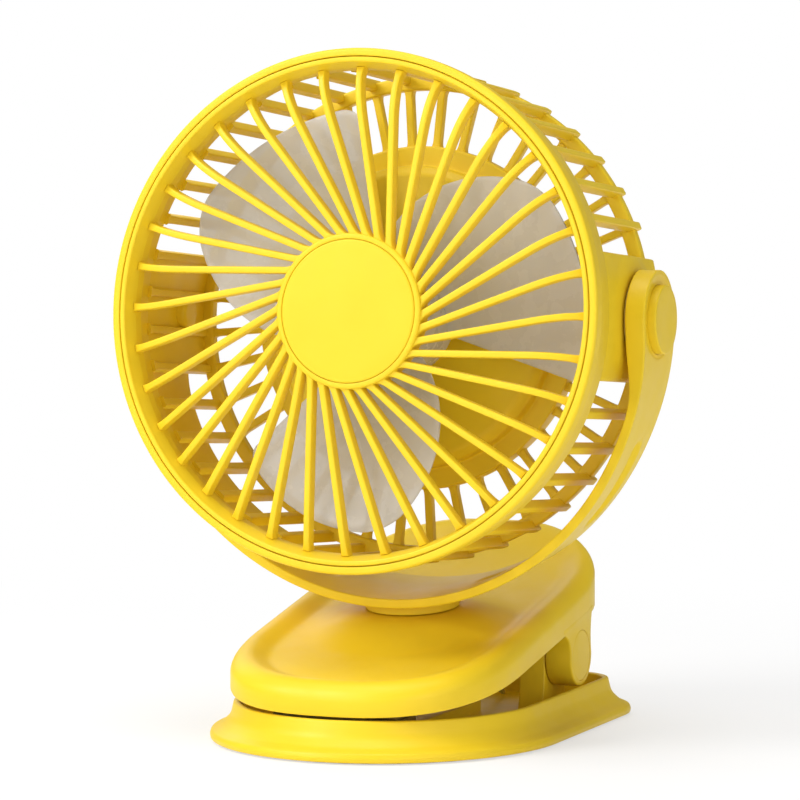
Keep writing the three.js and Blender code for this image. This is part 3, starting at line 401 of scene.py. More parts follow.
def sidePanel(side):
    low, high = drum["rearRadius"] - drum["panelWall"], drum["rearRadius"] + 0.03
    front, rear = drum["rear"] + drum["panelSink"], -drum["barTip"] - 1
    half, steps = drum["panelHalfAngle"], drum["panelSteps"]
    turns = [(-half, 0.6), (-half + 0.2, 0.2), (-half + 0.5, 0)]
    turns += [(mix(-half + 0.5, half - 0.5, k / steps), 0) for k in range(1, steps)]
    turns += [(half - 0.5, 0), (half - 0.2, 0.2), (half, 0.6)]
    along = [mix(rear + 1.4, front - 1.2, k / steps) for k in range(steps + 1)]
    rings = []
    for turn, shrink in turns:
        outline = [(low + shrink, rear + shrink, 0.7), (high - shrink, rear + shrink, 0.9)]
        outline += [(high - shrink, depth) for depth in along]
        outline += [(high - shrink, front, 0.5), (low + shrink, front, 0.5)]
        angle = math.radians(turn)
        ring = []
        for p in softened(outline, steps=4):
            out, up = p.x * math.cos(angle), p.x * math.sin(angle)
            if p.x > high - shrink - 0.01:  # the wall swells softly out to the pivot's face
                away = drum["swellRadius"] - math.hypot(p.y, up)
                rise = smooth(away / (drum["swellRadius"] - drum["swellFlat"]))
                out = max(out, mix(out, drum["bossFace"], rise))
            ring.append((out, up, p.y))
        rings.append(ring)
    radius, floor, top = drum["innerBoss"], low - drum["innerBossHeight"], low + 0.6
    innerBoss = turned([(0, floor), (radius, floor, 1.4), (radius, top), (0, top)], 64, onAxis=True)
    panel = gathered([lofted(rings), placed(innerBoss, sideways)])
    return panel if side > 0 else placed(panel, Matrix.Rotation(math.pi, 4, "Z"))


def housing():
    inner = drum["domeRadius"] - drum["housingWall"]
    seat = drum["housingRadius"] - drum["housingWall"]
    ledge = drum["housingRear"] - drum["ledgeDepth"]
    cavity = drum["domeFront"] + drum["housingWall"]
    shell = turned([
        (0, -drum["domeFront"]), (drum["domeRadius"] - drum["domeChamfer"], -drum["domeFront"], 2.5),
        (drum["domeRadius"], -drum["domeFront"] - drum["domeChamfer"], 2.5),
        (drum["domeRadius"], -drum["domeRear"], 1.0), (drum["housingRadius"], -drum["domeRear"], 0.8),
        (drum["housingRadius"], -drum["housingRear"], 0.5), (seat, -drum["housingRear"], 0.4), (seat, -ledge),
        (inner, -ledge, 0.3), (inner, -cavity, 0.5), (0, -cavity),
    ], 200, onAxis=True)
    fixed, circleRadius = -drum["insideFront"], drum["postCircle"]
    bore, radius, rear = drum["motorBore"], drum["motorRing"], -drum["motorRingRear"]
    motorRing = turned([(bore, 1, 0.3), (radius, 1, 0.3), (radius, rear), (bore, rear)], 64)
    posts = []
    bore, radius, rear = drum["postBore"], drum["postRadius"], -drum["postRear"]
    for k in range(drum["postCount"]):
        turn = math.radians(90 + 120 * k)
        spot = Matrix.Translation((circleRadius * math.cos(turn), circleRadius * math.sin(turn), 0))
        post = turned([(bore, rear, 0.2), (radius, rear, 0.3), (radius, fixed), (bore, fixed)], 32)
        posts.append(placed(post, spot))
    radius, rear = drum["pegRadius"], -drum["pegRear"]
    for x, y in drum["pegSpots"]:
        peg = turned([(0, rear), (radius, rear, 0.3), (radius, fixed), (0, fixed)], 24, onAxis=True)
        posts.append(placed(peg, Matrix.Translation((x, y, 0))))
    return gathered([shell, motorRing] + posts)


def drumRing():
    outside = drum["rearRadius"] - drum["ringInset"]
    inside = outside - drum["ringWide"]
    rear = -drum["ringRear"]
    front = rear + drum["ringThick"]
    return turned([(inside, rear, 1.0), (outside, rear, 1.0), (outside, front, 0.8), (inside, front, 0.8)], 200)


ringInside = drum["rearRadius"] - drum["ringInset"] - drum["ringWide"]
spokes = rearSpokes(drum["housingRadius"] - drum["spokeSink"], ringInside + drum["spokeSink"])
drumParts = [drumHoop(), drumBars(), spokes, sidePanel(1), sidePanel(-1), drumRing(), housing()]
finished("drumCasing", gathered(drumParts), headFrame, "head", ["drum_body"])


# The front grille and its bare disc
grille = {
    "radius": 70.0, "bead": 3.6, "ridge": 1.35, "skirtWall": 1.8, "skirtDepth": 7.6,
    "spokeCount": 36, "spokeWidth": 2.2, "spokeDepth": 3.4, "spokeTop": 0.7, "spokeOffset": 11.2,
    "straightTo": 52.0, "knee": 61.0, "kneeSteps": 14, "drop": 2.6,
    "hubRadius": 21.5, "hubSkirt": 6.3, "hubProud": 0.2, "hubBack": 4, "pocketRadius": 19.9,
    "discRadius": 19.82, "discThick": 1.4, "discCrown": 0.3,
}


def grilleHoop():
    front = drum["front"]
    outside = grille["radius"]
    wall = outside - grille["bead"] + grille["skirtWall"]
    lip = front - drum["lipHeight"] + 0.3
    rear = front - grille["skirtDepth"]
    return turned([
        (wall - 1.3, rear, 0.4), (wall, rear, 0.4), (wall, lip, 0.2),
        (outside + 0.2, lip, 0.2), (outside + 0.2, front - 0.9, 0.1), (outside, front - 0.7, 0.15),
        (outside, front + 0.1, 0.55), (outside - grille["ridge"], front + 0.1, 0.6),
        (outside - grille["ridge"] - 0.3, front - 1.2, 0.7), (wall - 0.9, front - 4.6, 2.5),
    ], 240)


def grilleSpoke():  # past the centre, then bent to meet the hoop square on, dropping back
    top = drum["front"] - grille["spokeTop"]
    offset = grille["spokeOffset"]
    start = math.sqrt((grille["hubRadius"] - 1) ** 2 - offset ** 2)
    ringRadius = grille["radius"] - grille["bead"] + grille["skirtWall"] * 0.6
    knee = Vector((grille["knee"], -offset, 0))
    end = knee.normalized() * ringRadius
    end.z = -grille["drop"]
    path = [Vector((mix(start, grille["straightTo"], t), -offset, 0))
            for t in (0, 0.02, 0.045, 0.07, 0.1, 0.35, 0.65)]
    path += bends((grille["straightTo"], -offset, 0), knee, end, grille["kneeSteps"])
    rings = []
    half, depth = grille["spokeWidth"] / 2, grille["spokeDepth"]
    for k, point in enumerate(path):
        ahead = path[min(k + 1, len(path) - 1)] - path[max(k - 1, 0)]
        side = Vector((-ahead.y, ahead.x, 0)).normalized()
        nearHub = max(0.0, 1 - (point - path[0]).length / 2.6)
        nearRing = max(0.0, 1 - (point - path[-1]).length / 3.2)
        wide = half + 0.8 * nearHub ** 2 + 0.35 * nearRing ** 2
        section = softened([(-wide, -depth, 0.5), (wide, -depth, 0.5), (wide * 0.8, 0, 0.45),
                            (-wide * 0.8, 0, 0.45)], steps=3)
        rings.append([point + side * p.x + Vector((0, 0, top + p.y)) for p in section])
    return lofted(rings)


def grilleHub():
    rim = drum["front"] + grille["hubProud"]
    behind, skirt = drum["front"] - grille["hubBack"], drum["front"] - grille["hubSkirt"]
    hub, pocket, floor = grille["hubRadius"], grille["pocketRadius"], rim - grille["discThick"]
    return turned([
        (0, behind), (hub - 2, behind, 0.5), (hub - 2, skirt, 0.4), (hub, skirt, 0.5), (hub, rim, 0.9),
        (pocket, rim, 0.35), (pocket, floor), (0, floor),
    ], 160, onAxis=True)


def hubDisc():
    low = drum["front"] + 0.5 - grille["discThick"]
    edge = drum["front"] + 0.3
    radius, rise = grille["discRadius"], grille["discCrown"]
    crown = [(radius * (1 - k / 8), edge + rise * (1 - (1 - k / 8) ** 2)) for k in range(1, 9)]
    return turned([(0, low), (radius, low, 0.2), (radius, edge, 0.7)] + crown, 160, onAxis=True)


finished("grilleGuard", gathered([grilleHoop(), spunCopies(grilleSpoke(), grille["spokeCount"]), grilleHub()]),
         headFrame, "head", ["front_grille"])
finished("hubDisc", hubDisc(), headFrame, "head", ["hub_badge"])


# Three blades on their cup
rotor = {
    "blades": 3, "tipRadius": 61.3, "thick": 1.4, "rearDepth": 4.0, "frontDepth": 20.0, "camber": 1.6,
    "rearAngle": -18.0, "rootAngle": 84.0, "sweep": 0.85, "sweepGrowth": 0.0062, "corner": 5.0,
    "cornerTrim": 6.5, "radialSteps": 30, "chordSteps": 28, "cupRadius": 17.5, "cupWall": 1.8, "cupFront": 25.0,
    "cupRear": 1.0, "boss": 4.2, "bossDepth": 5, "shaftBore": 1.25, "faceBore": 0.9,
}


def rotorBlade():
    radialSteps, chordSteps = rotor["radialSteps"], rotor["chordSteps"]
    root = rotor["cupRadius"] - 0.8
    corner = rotor["tipRadius"] - rotor["corner"]
    rings = []
    for i in range(radialSteps + 1):
        share = i / radialSteps
        r = mix(root, rotor["tipRadius"], 1 - (1 - share) ** 1.6)
        out = r - rotor["cupRadius"]
        swept = rotor["rootAngle"] - rotor["sweep"] * out - rotor["sweepGrowth"] * out ** 2
        trim = 0
        if r > corner:  # the blade's corners are round
            trim = rotor["cornerTrim"] * (1 - math.sqrt(max(0, 1 - ((r - corner) / rotor["corner"]) ** 2)))
        upper, lower = [], []
        for j in range(chordSteps + 1):
            t = 0.5 - 0.5 * math.cos(math.pi * j / chordSteps)
            angle = math.radians(mix(rotor["rearAngle"] + trim, swept - trim, t))
            depth = mix(rotor["rearDepth"], rotor["frontDepth"], t) + rotor["camber"] * math.sin(math.pi * t)
            half = rotor["thick"] / 2 * (max(0.0, 1 - abs(2 * t - 1) ** 14)) ** 0.5 * (1 if share < 1 else 0.5)
            x, y = r * math.cos(angle), r * math.sin(angle)
            upper.append((x, y, depth + half + 0.02))
            lower.append((x, y, depth - half - 0.02))
        rings.append(lower + upper[::-1])
    return lofted(rings)


def rotorCup():
    radius, wall, front, rear = rotor["cupRadius"], rotor["cupWall"], rotor["cupFront"], rotor["cupRear"]
    inside, boss, bore, small = front - wall, rotor["boss"], rotor["shaftBore"], rotor["faceBore"]
    low = inside - rotor["bossDepth"]
    return turned([
        (bore, low, 0.2), (boss, low, 0.3), (boss, inside, 0.5),
        (radius - wall, inside, 1.2), (radius - wall, rear, 0.4), (radius, rear, 0.4), (radius, front, 2.2),
        (small, front, 0.2), (small, front - 0.6), (bore, front - 0.6),
    ], 120)


finished("fanBlades", gathered([rotorCup(), spunCopies(rotorBlade(), rotor["blades"])]), headFrame, "rotor",
         ["blade_rotor"], smokeBlades)


# The back cover, its speed button and its screws
back = {
    "radius": 47.4, "rear": 20.6, "front": 14.5, "wall": 1.6, "dome": 1.2, "screwCircle": 36.0,
    "screwCount": 3, "screwBore": 1.6, "screwSink": 2.9, "screwSinkDepth": 2.2, "sleeveRadius": 3.8,
    "sleeveFront": 16.1,
    "buttonRadius": 6.0, "buttonProud": 1.1, "buttonStem": 2, "stemFront": 17.1, "flange": 1.2,
    "flangeThick": 0.9,
    "buttonHole": 6.3, "buttonDish": 7.2, "dishDepth": 0.55,
    "socketUp": -30.0, "socketHalf": (4.9, 2.0), "socketCorner": 1.7, "lensUp": -14.0, "lensHole": 1.9,
}
screw = {"head": 2.6, "headHeight": 1.5, "shank": 1.3, "length": 8, "slotHalf": (1.5, 0.24), "slotFloor": 0.7,
         "inset": 1.9, "turn": 37}
screwSpots = [(back["screwCircle"] * math.cos(math.radians(90 + 120 * k)),
               back["screwCircle"] * math.sin(math.radians(90 + 120 * k))) for k in range(back["screwCount"])]


def backCover():
    r, rear, wall, front = back["radius"], back["rear"], back["wall"], -back["front"]
    bulge = [(r * t, -rear + back["dome"] * t ** 6) for t in (0.25, 0.5, 0.65, 0.78, 0.88)]
    hollow = [(r * t, -rear + wall + back["dome"] * t ** 6) for t in (0.88, 0.65, 0.4)]
    rim = [(r, -rear + 2.8, 2.2), (r, front, 0.3), (r - wall, front, 0.3), (r - wall, -rear + 3.6, 1.2)]
    shell = turned([(0, -rear)] + bulge + rim + hollow + [(0, -rear + wall)], 200, onAxis=True)
    spots = [Matrix.Translation((x, y, 0)) for x, y in screwSpots]
    bore, outer, end, through = back["screwBore"], back["sleeveRadius"], -back["sleeveFront"], -rear - 1
    sleeve = [(bore, -rear + 1.2), (outer, -rear + 1.2), (outer, end, 0.2), (bore, end, 0.2)]
    sleeves = [placed(turned(sleeve, 32), spot) for spot in spots]
    sunk = -rear + back["screwSinkDepth"]
    cutters = [placed(slab(circle(bore, 32), through, -12), spot) for spot in spots]
    cutters += [placed(slab(circle(back["screwSink"], 40), through, sunk), spot) for spot in spots]
    hole, dish = back["buttonHole"], back["buttonDish"]
    cutters.append(turned([(0, through), (dish, through), (dish, -rear), (hole, -rear + back["dishDepth"], 0.5),
                           (hole, -15), (0, -15)], 72, onAxis=True))
    socket = slab(roundedRect(*back["socketHalf"], back["socketCorner"], 6), through, -15)
    cutters.append(placed(socket, Matrix.Translation((0, back["socketUp"], 0))))
    lens = slab(circle(back["lensHole"], 32), through, -15)
    cutters.append(placed(lens, Matrix.Translation((0, back["lensUp"], 0))))
    return gathered([carved(shell, cutters)] + sleeves)


def speedButton():
    outer = back["rear"] + back["buttonProud"]
    low = -(back["rear"] - back["wall"] - 0.3)
    high = low + back["flangeThick"]
    radius, stem, end = back["buttonRadius"], back["buttonStem"], -back["stemFront"]
    wide = radius + back["flange"]
    return turned([
        (0, -outer + 0.45), (radius * 0.35, -outer + 0.4, 2), (radius * 0.72, -outer, 1.2),
        (radius, -outer, 0.8), (radius, low, 0.1), (wide, low, 0.2), (wide, high, 0.2),
        (stem, high, 0.3), (stem, end, 0.2), (0, end),
    ], 96, onAxis=True)


def coverScrew():
    radius, top, shank, end = screw["head"], -screw["headHeight"], screw["shank"], screw["length"]
    body = turned([(0, top), (radius - 0.5, top, 0.5), (radius, top + 0.5, 0.3), (radius, 0),
                   (shank, 0, 0.1), (shank, end, 0.2), (0, end)], 40, onAxis=True)
    long, short = screw["slotHalf"]
    slots = [slab(roundedRect(x, y, 0.2, 2), -2, -screw["slotFloor"]) for x, y in ((long, short), (short, long))]
    return carved(body, slots)


finished("backCover", backCover(), headFrame, "head", ["rear_cover"])
finished("speedButton", speedButton(), headFrame, "button", ["speed_button"])
for number, (x, y) in enumerate(screwSpots, 1):
    twist = Matrix.Rotation(math.radians(screw["turn"] * number), 4, "Z")
    seat = Matrix.Translation((x, y, -back["rear"] + screw["inset"])) @ twist
    finished(f"coverScrew{number}", coverScrew(), headFrame @ seat, "head", [f"cover_screw_{number}"],
             zincSteel)


# The yoke with its neck, and the pivot caps
yoke = {
    "armInside": 72.1, "armThick": 5.6, "bandRadius": 77.8, "band": 2.8, "drop": 3.6, "frontReach": 18.0,
    "rearReach": 14.5, "rearSweep": 16.0, "bossRadius": 13.7, "rim": 1.1, "bandSteps": 280, "acrossSteps": 40,
    "neckRadius": 13.7, "spigotRadius": 7, "spigotBore": 1.9, "spigotLength": 6.9,
    "slotAngle": 34, "slotHalf": 15.0, "slotWide": 4.0, "slotForward": -3.0, "slotDepth": 1.35,
    "innerSlotAngle": 69, "innerSlotHalf": 6.0, "innerSlotDepth": 0.9,
}
cap = {"radius": 9.6, "gap": 0.12, "thick": 3.6, "proud": 2.0, "moatRadius": 11.4, "moatDepth": 0.45}
armOutside = yoke["armInside"] + yoke["armThick"]


def bezierAt(points, t):
    a, b, c, d = (Vector(p) for p in points)
    return a * (1 - t) ** 3 + b * 3 * t * (1 - t) ** 2 + c * 3 * t * t * (1 - t) + d * t ** 3


def edgeReach(points):  # how far the curve stands from the pivot line, against its height
    curve = [bezierAt(points, k / 80) for k in range(81)]

    def reach(height):
        for a, b in zip(curve, curve[1:]):
            low, high = sorted((a.y, b.y))
            if low <= height <= high and high > low:
                return mix(a.x, b.x, (height - a.y) / (b.y - a.y))
        return curve[0].x if abs(height - curve[0].y) < abs(height - curve[-1].y) else curve[-1].x
    return reach


armTop = yoke["bossRadius"]
bandBottom = -yoke["drop"] - yoke["bandRadius"] - 1
frontCurve = edgeReach([(-armTop, 0), (-armTop, -22), (-yoke["frontReach"], -30), (-yoke["frontReach"], -58)])
rearCurve = edgeReach([(yoke["rearReach"], bandBottom), (yoke["rearReach"] - yoke["rearSweep"], -56),
                       (armTop - 3, -26), (armTop, 0)])


def yokeSections():  # (outer point, inner point, front, rear), down one arm, round and up the other
    outer, inner = armOutside, yoke["bandRadius"] - yoke["band"]
    rows = []
    for k in range(13):  # the round top of the arm
        height = armTop * math.cos(math.pi / 2 * k / 12)
        reach = max(armTop * math.sin(math.pi / 2 * k / 12), 0.02)
        rows.append((Vector((outer, height)), Vector((yoke["armInside"], height)), -reach, reach))
    for k in range(1, 4):
        height = -yoke["drop"] * k / 3
        rows.append((Vector((outer, height)), Vector((yoke["armInside"] + 0.02 * k, height)),
                     frontCurve(height), rearCurve(height)))
    arm = rows[:]
    steps, centre = yoke["bandSteps"], Vector((0, -yoke["drop"]))
    for k in range(1, steps):
        turn = math.pi * k / steps
        way = Vector((math.cos(turn), -math.sin(turn)))
        outside = centre + way * outer
        swell = smooth(1 - math.sin(turn) / 0.36)  # the band thickens into the arm
        inside = centre + way * inner
        inside = inside.lerp(Vector((math.copysign(yoke["armInside"], way.x), outside.y)), swell)
        rows.append((outside, inside, frontCurve(outside.y), rearCurve(outside.y)))
    mirrored = [(Vector((-o.x, o.y)), Vector((-i.x, i.y)), f, r) for o, i, f, r in reversed(arm)]
    return rows + mirrored


def dent(height, back, angle, halfLength, depth):  # a shallow long hollow with round ends, on both arms
    turn = math.degrees(math.asin(max(-1, min(1, (-yoke["drop"] - height) / armOutside))))
    along = math.radians(turn - angle) * yoke["bandRadius"]
    away = math.hypot(max(0, abs(along) - halfLength + yoke["slotWide"]), back - yoke["slotForward"])
    return depth * smooth((yoke["slotWide"] + 0.4 - away) / 1.5)


def yokeBand():
    rings = []
    rim, steps = yoke["rim"], yoke["acrossSteps"]
    for outside, inside, front, rear in yokeSections():
        across = outside - inside
        thick = across.length
        margin = min(rim + 0.1, 0.49 * (rear - front))
        along = [mix(front + margin, rear - margin, k / steps) for k in range(steps + 1)]
        corners = [(front, 0, rim)] + [(y, 0) for y in along] + [(rear, 0, rim), (rear, thick, rim)]
        corners += [(y, thick) for y in reversed(along)] + [(front, thick, rim)]
        ring = []
        for p in softened(corners, steps=5):
            height = p.y
            if p.y > thick - 0.001:
                height -= dent(outside.y, p.x, yoke["slotAngle"], yoke["slotHalf"], yoke["slotDepth"])
            elif p.y < 0.001:
                height += dent(outside.y, p.x, yoke["innerSlotAngle"], yoke["innerSlotHalf"],
                               yoke["innerSlotDepth"])
            at = inside + across.normalized() * height
            ring.append((at.x, p.x, at.y))
        rings.append(ring)
    return lofted(rings)


def yokeNeck():  # the neck, and the hollow spigot that turns in the jaw
    radius, spigot, bore = yoke["neckRadius"], yoke["spigotRadius"], yoke["spigotBore"]
    seat = -stand["seatDistance"] + 0.3
    top = -yoke["drop"] - yoke["bandRadius"] + 0.4
    end = seat - yoke["spigotLength"]
    return gathered([
        turned([(0, seat), (radius, seat, 0.4), (radius, top, 0.6), (0, top)], 128, onAxis=True),
        turned([(bore, end), (spigot, end, 0.3), (spigot, seat + 1), (bore, seat + 1)], 64),
    ])


def capSeat(side):  # the pocket that a pivot cap sits in, with its soft moat
    outer, moat = armOutside, cap["moatRadius"]
    floor, moatFloor = outer + cap["proud"] - cap["thick"] - 0.3, outer - cap["moatDepth"]
    radius = cap["radius"] + cap["gap"]
    tool = turned([
        (0, floor), (radius, floor), (radius, moatFloor), (moat - 0.8, moatFloor, 1.6),
        (moat + 1.3, outer + 0.03, 1.6), (moat + 1.6, outer + 1.5), (0, outer + 1.5),
    ], 128, onAxis=True)
    return placed(tool, onSide(side) @ sideways)


def yokeWhole():
    return gathered([carved(yokeBand(), [capSeat(1), capSeat(-1)]), yokeNeck()])


def pivotCap(side):
    radius, face = cap["radius"], armOutside + cap["proud"]
    low = face - cap["thick"]
    return placed(turned([(0, low), (radius, low, 0.2), (radius, face, 0.5), (radius * 0.8, face, 2),
                          (0, face - 0.12)], 128, onAxis=True), onSide(side) @ sideways)


finished("yokeFork", yokeWhole(), yokeFrame, "fork", ["yoke"], crease=58)
finished("pivotCapRight", pivotCap(1), yokeFrame, "fork", ["pivot_cap_right"])
finished("pivotCapLeft", pivotCap(-1), yokeFrame, "fork", ["pivot_cap_left"])


# The clip: dished upper jaw, flared tray, hinge caps and spring
clip = {
    "hingeBack": 38.1, "hingeHeight": 19.6, "pinBore": 2.8, "capRadius": 7.4, "capThick": 2.0, "capGap": 0.05,
    "earRadius": 9.0, "earWidth": 8.02, "earFace": 41.52, "lugWidth": 7.7, "lugRadius": 8.5, "lugGap": 0.3,
    "halfWidth": 41.5, "front": 54.0, "rear": 78.0, "nose": 46.0, "bluntness": 0.77, "tailCorner": 34.0,
    "wall": 2.2, "edge": 4.5, "crest": 7, "ribSpots": (20, -20), "ribThick": 1.6, "dish": 2.2,
    "rimHeight": 31.8, "topSlope": 0.215,
    "tailCurl": 0.0035, "underHeight": 21.9, "underSlope": 0.19,
}
tray = {"halfWidth": 50.5, "front": 62.0, "rear": 72.5, "nose": 55.0, "corner": 19.0, "height": 11.1,
        "floor": 3.5, "stand": 0.5, "flare": 6.8, "wall": 1.8, "lip": 2.0, "ribSpots": (14, -14), "ribThick": 1.6,
        "ribTop": 6.5, "ribReach": (-34, 26)}
spring = {"wire": 0.8, "radius": 5.2, "turns": 8, "pitch": 2.4, "leg": 24.0, "stepsPerTurn": 24}
pads = {"back": -40.0, "size": (38.0, 14.0, 2.0), "rim": 1.5}

seatBack = stand["seatDistance"] * math.sin(math.radians(stand["swivelLean"]))
seatHeight = stand["pivotHeight"] - stand["seatDistance"] * math.cos(math.radians(stand["swivelLean"]))


def rimAt(y):
    return clip["rimHeight"] + clip["topSlope"] * y + clip["tailCurl"] * max(0, y - 30) ** 2


def underAt(y):
    return clip["underHeight"] + clip["underSlope"] * y


def dishAt(y):
    return rimAt(y) - clip["dish"]


def jawTopAt(x, y):  # the dish, with a flat seat for the yoke's neck
    away = math.hypot(x, y - seatBack)
    plane = seatHeight + math.tan(math.radians(stand["swivelLean"])) * (y - seatBack)
    return mix(plane, dishAt(y), smooth((away - yoke["neckRadius"] - 0.8) / 18))


def tongue(halfWidth, front, rear, nose, corner, bluntness, inset):  # round nose and round back corners
    w, r = halfWidth - inset, max(corner - inset, 1)
    centre = nose - front
    rear = rear - inset
    right = []
    for k in range(41):
        a = k / 40 * math.pi / 2
        right.append((w * math.sin(a) ** bluntness, centre - (nose - inset) * math.cos(a) ** bluntness))
    for k in range(1, 9):
        right.append((w, mix(centre, rear - r, k / 8)))
    for k in range(1, 17):
        a = k / 16 * math.pi / 2
        right.append((w - r + r * math.cos(a), rear - r + r * math.sin(a)))
    right += [((w - r) * (1 - k / 4), rear) for k in range(1, 4)]
    left = [(-x, y) for x, y in reversed(right[1:])]
    return right + [(0, rear)] + left


def jawOutline(inset):
    return tongue(clip["halfWidth"], clip["front"], clip["rear"], clip["nose"], clip["tailCorner"],
                  clip["bluntness"], inset)


def upperJawShell():
    edge, wall, crest = clip["edge"], clip["wall"], clip["crest"]

    def ring(outline, height):
        return [(x, y, height(x, y)) for x, y in outline]

    def inward(outline, share):
        return [(x * share, seatBack + (y - seatBack) * share) for x, y in outline]

    shares = (0.01, 0.2, 0.3, 0.36, 0.42, 0.48, 0.54, 0.6, 0.66, 0.72, 0.78, 0.84, 0.9, 0.95, 1.0)
    rings = [ring(inward(jawOutline(edge + crest), share), jawTopAt) for share in shares]
    for k in range(1, 9):  # from the dish up to the crest
        share = 1 - k / 8
        rings.append(ring(jawOutline(edge + crest * share),
                          lambda x, y, s=share: mix(rimAt(y), jawTopAt(x, y), smooth(s))))
    for k in range(1, 10):  # the round outer edge
        turn = math.radians(90 - 10 * k)
        rings.append(ring(jawOutline(edge * (1 - math.cos(turn))),
                          lambda x, y, s=edge * (1 - math.sin(turn)): rimAt(y) - s))
    for inset, lift in ((0, 0.5), (0.15, 0.15), (0.5, 0), (wall - 0.5, 0), (wall, 0.3)):
        rings.append(ring(jawOutline(inset), lambda x, y, s=lift: underAt(y) + s))
    rings.append(ring(jawOutline(wall), lambda x, y: rimAt(y) - edge - 0.5))
    rings.append(ring(jawOutline(wall + 1), lambda x, y: rimAt(y) - edge + 0.2))
    for share in (1.0, 0.6, 0.3, 0.01):
        rings.append(ring(inward(jawOutline(edge + 2), share), lambda x, y: dishAt(y) - wall))
    return lofted(rings)


def earOutline():
    hingeY, hingeZ, radius = clip["hingeBack"], clip["hingeHeight"], clip["earRadius"]
    arch = hingeY - radius - 6.5
    end = hingeY + radius
    points = bends((arch, underAt(arch) + 0.6), (hingeY - radius + 0.3, underAt(arch)),
                   (hingeY - radius, hingeZ), 12)
    points += arc((hingeY, hingeZ), radius, math.pi, math.pi, 24)
    points += bends((end, hingeZ), (end - 1.5, hingeZ + 7), (end + 1, underAt(end) + 2.5), 10, skip=1)
    return points + [Vector((arch, underAt(arch) + 2.5))]


def pinCut(low, high):
    spot = Matrix.Translation((clip["hingeBack"], clip["hingeHeight"], 0))
    return placed(slab(circle(clip["pinBore"], 40), low, high), spot)


def hingeEar(side):
    outside = clip["earFace"]
    spot = Matrix.Translation((clip["hingeBack"], clip["hingeHeight"], 0))
    ear = slab(earOutline(), outside - clip["earWidth"], outside, 0.5, 3)
    wide = clip["capRadius"] + clip["capGap"]
    pocket = placed(slab(circle(wide, 96), outside - clip["capThick"] - 0.3, outside + 3), spot)
    return placed(carved(ear, [pocket, pinCut(outside - 20, outside + 3)]), onSide(side) @ sideways)


def ribAcross(points, x, width):
    return placed(slab(points, x - width / 2, x + width / 2, 0.25, 2), sideways)


def padShelf(low, high):
    length, width, rim = pads["size"][0] / 2, pads["size"][1] / 2, pads["rim"]
    shelf = slab(roundedRect(length + rim, width + rim, 2), low, high, 0.3, 2)
    return placed(shelf, Matrix.Translation((0, pads["back"], 0)))


def upperJaw():
    parts = [upperJawShell(), hingeEar(1), hingeEar(-1)]
    front, end = -30, clip["hingeBack"] - clip["earRadius"] - 4
    rib = [(front, underAt(front) + 2.5), (end, underAt(end) + 2.5), (end, dishAt(end) - 1),
           (front, dishAt(front) - 1)]
    parts += [ribAcross(rib, x, clip["ribThick"]) for x in clip["ribSpots"]]
    low = underAt(pads["back"]) - 3.6 + 2.6
    return gathered(parts + [padShelf(low, dishAt(pads["back"]) - 0.6)])


def trayOutline(inset):
    return tongue(tray["halfWidth"], tray["front"], tray["rear"], tray["nose"], tray["corner"], 1, inset)


def lugOutline(floor):
    hingeY, hingeZ, radius = clip["hingeBack"], clip["hingeHeight"], clip["lugRadius"]
    front, rear = hingeY - radius, hingeY + radius
    points = bends((front - 3, floor), (front, floor + 3), (front, hingeZ), 10)
    points += arc((hingeY, hingeZ), radius, math.pi, -math.pi, 24)
    return points + bends((rear, hingeZ), (rear, floor + 3), (rear + 3, floor), 10, skip=1)


def hingeLug(side, floor):
    outside = clip["earFace"] - clip["earWidth"] - clip["lugGap"]
    lug = slab(lugOutline(floor), outside - clip["lugWidth"], outside, 0.4, 3)
    return placed(carved(lug, [pinCut(0, outside + 3)]), onSide(side) @ sideways)


def lowerJaw():
    flare, high, stands = tray["flare"], tray["height"], tray["stand"]
    profile = softened([
        (3, stands + 0.8), (3, stands, 0.2), (0.2, stands, 1.0), (0, stands + 1.3, 0.9),
        (0.4, stands + tray["lip"] + 0.5, 1.2), (3.2, stands + 3.7, 5), (5.8, 6.7, 5),
        (flare, high - 0.2, 0.7), (flare + 0.8, high, 0.6), (flare + tray["wall"], high - 0.2, 0.6),
        (flare + tray["wall"], tray["floor"], 0.8), (flare + 8, tray["floor"]), (44, tray["floor"]),
    ], closed=False, steps=4)
    shell = lofted([[(x, y, p.y) for x, y in trayOutline(p.x)] for p in profile])
    floor = tray["floor"] - 1.0
    lugs = [hingeLug(-1, floor), hingeLug(1, floor)]
    front, end = tray["ribReach"]
    rib = [(front, floor), (end, floor), (end, tray["ribTop"]), (front, tray["ribTop"])]
    ribs = [ribAcross(rib, x, tray["ribThick"]) for x in tray["ribSpots"]]
    shelf = padShelf(floor, underAt(pads["back"]) - 3.6 - pads["size"][2] - 0.3)
    return gathered([shell] + lugs + ribs + [shelf])


def hingeCap(side):
    outside = clip["earFace"]
    radius = clip["capRadius"]
    inside = outside - clip["capThick"]
    lid = turned([(0, inside), (radius, inside, 0.2), (radius, outside, 0.3), (0, outside)], 96, onAxis=True)
    spot = Matrix.Translation((0, clip["hingeBack"], clip["hingeHeight"]))
    return placed(lid, onSide(side) @ spot @ sideways)


def legAngle(side):  # where the coil ends, so that its leg just reaches the jaw (1) or the tray (-1)
    clear = 0.3 + spring["wire"]
    near, far = (math.radians(100), math.radians(170)) if side > 0 else (math.radians(265), math.radians(215))
    for _ in range(30):
        angle = (near + far) / 2
        y = clip["hingeBack"] + spring["radius"] * math.cos(angle) + side * spring["leg"] * math.sin(angle)
        z = clip["hingeHeight"] + spring["radius"] * math.sin(angle) - side * spring["leg"] * math.cos(angle)
        room = dishAt(y) - clip["wall"] - clear - z if side > 0 else z - clear - tray["floor"]
        if room > 0:
            near = angle
        else:
            far = angle
    return near


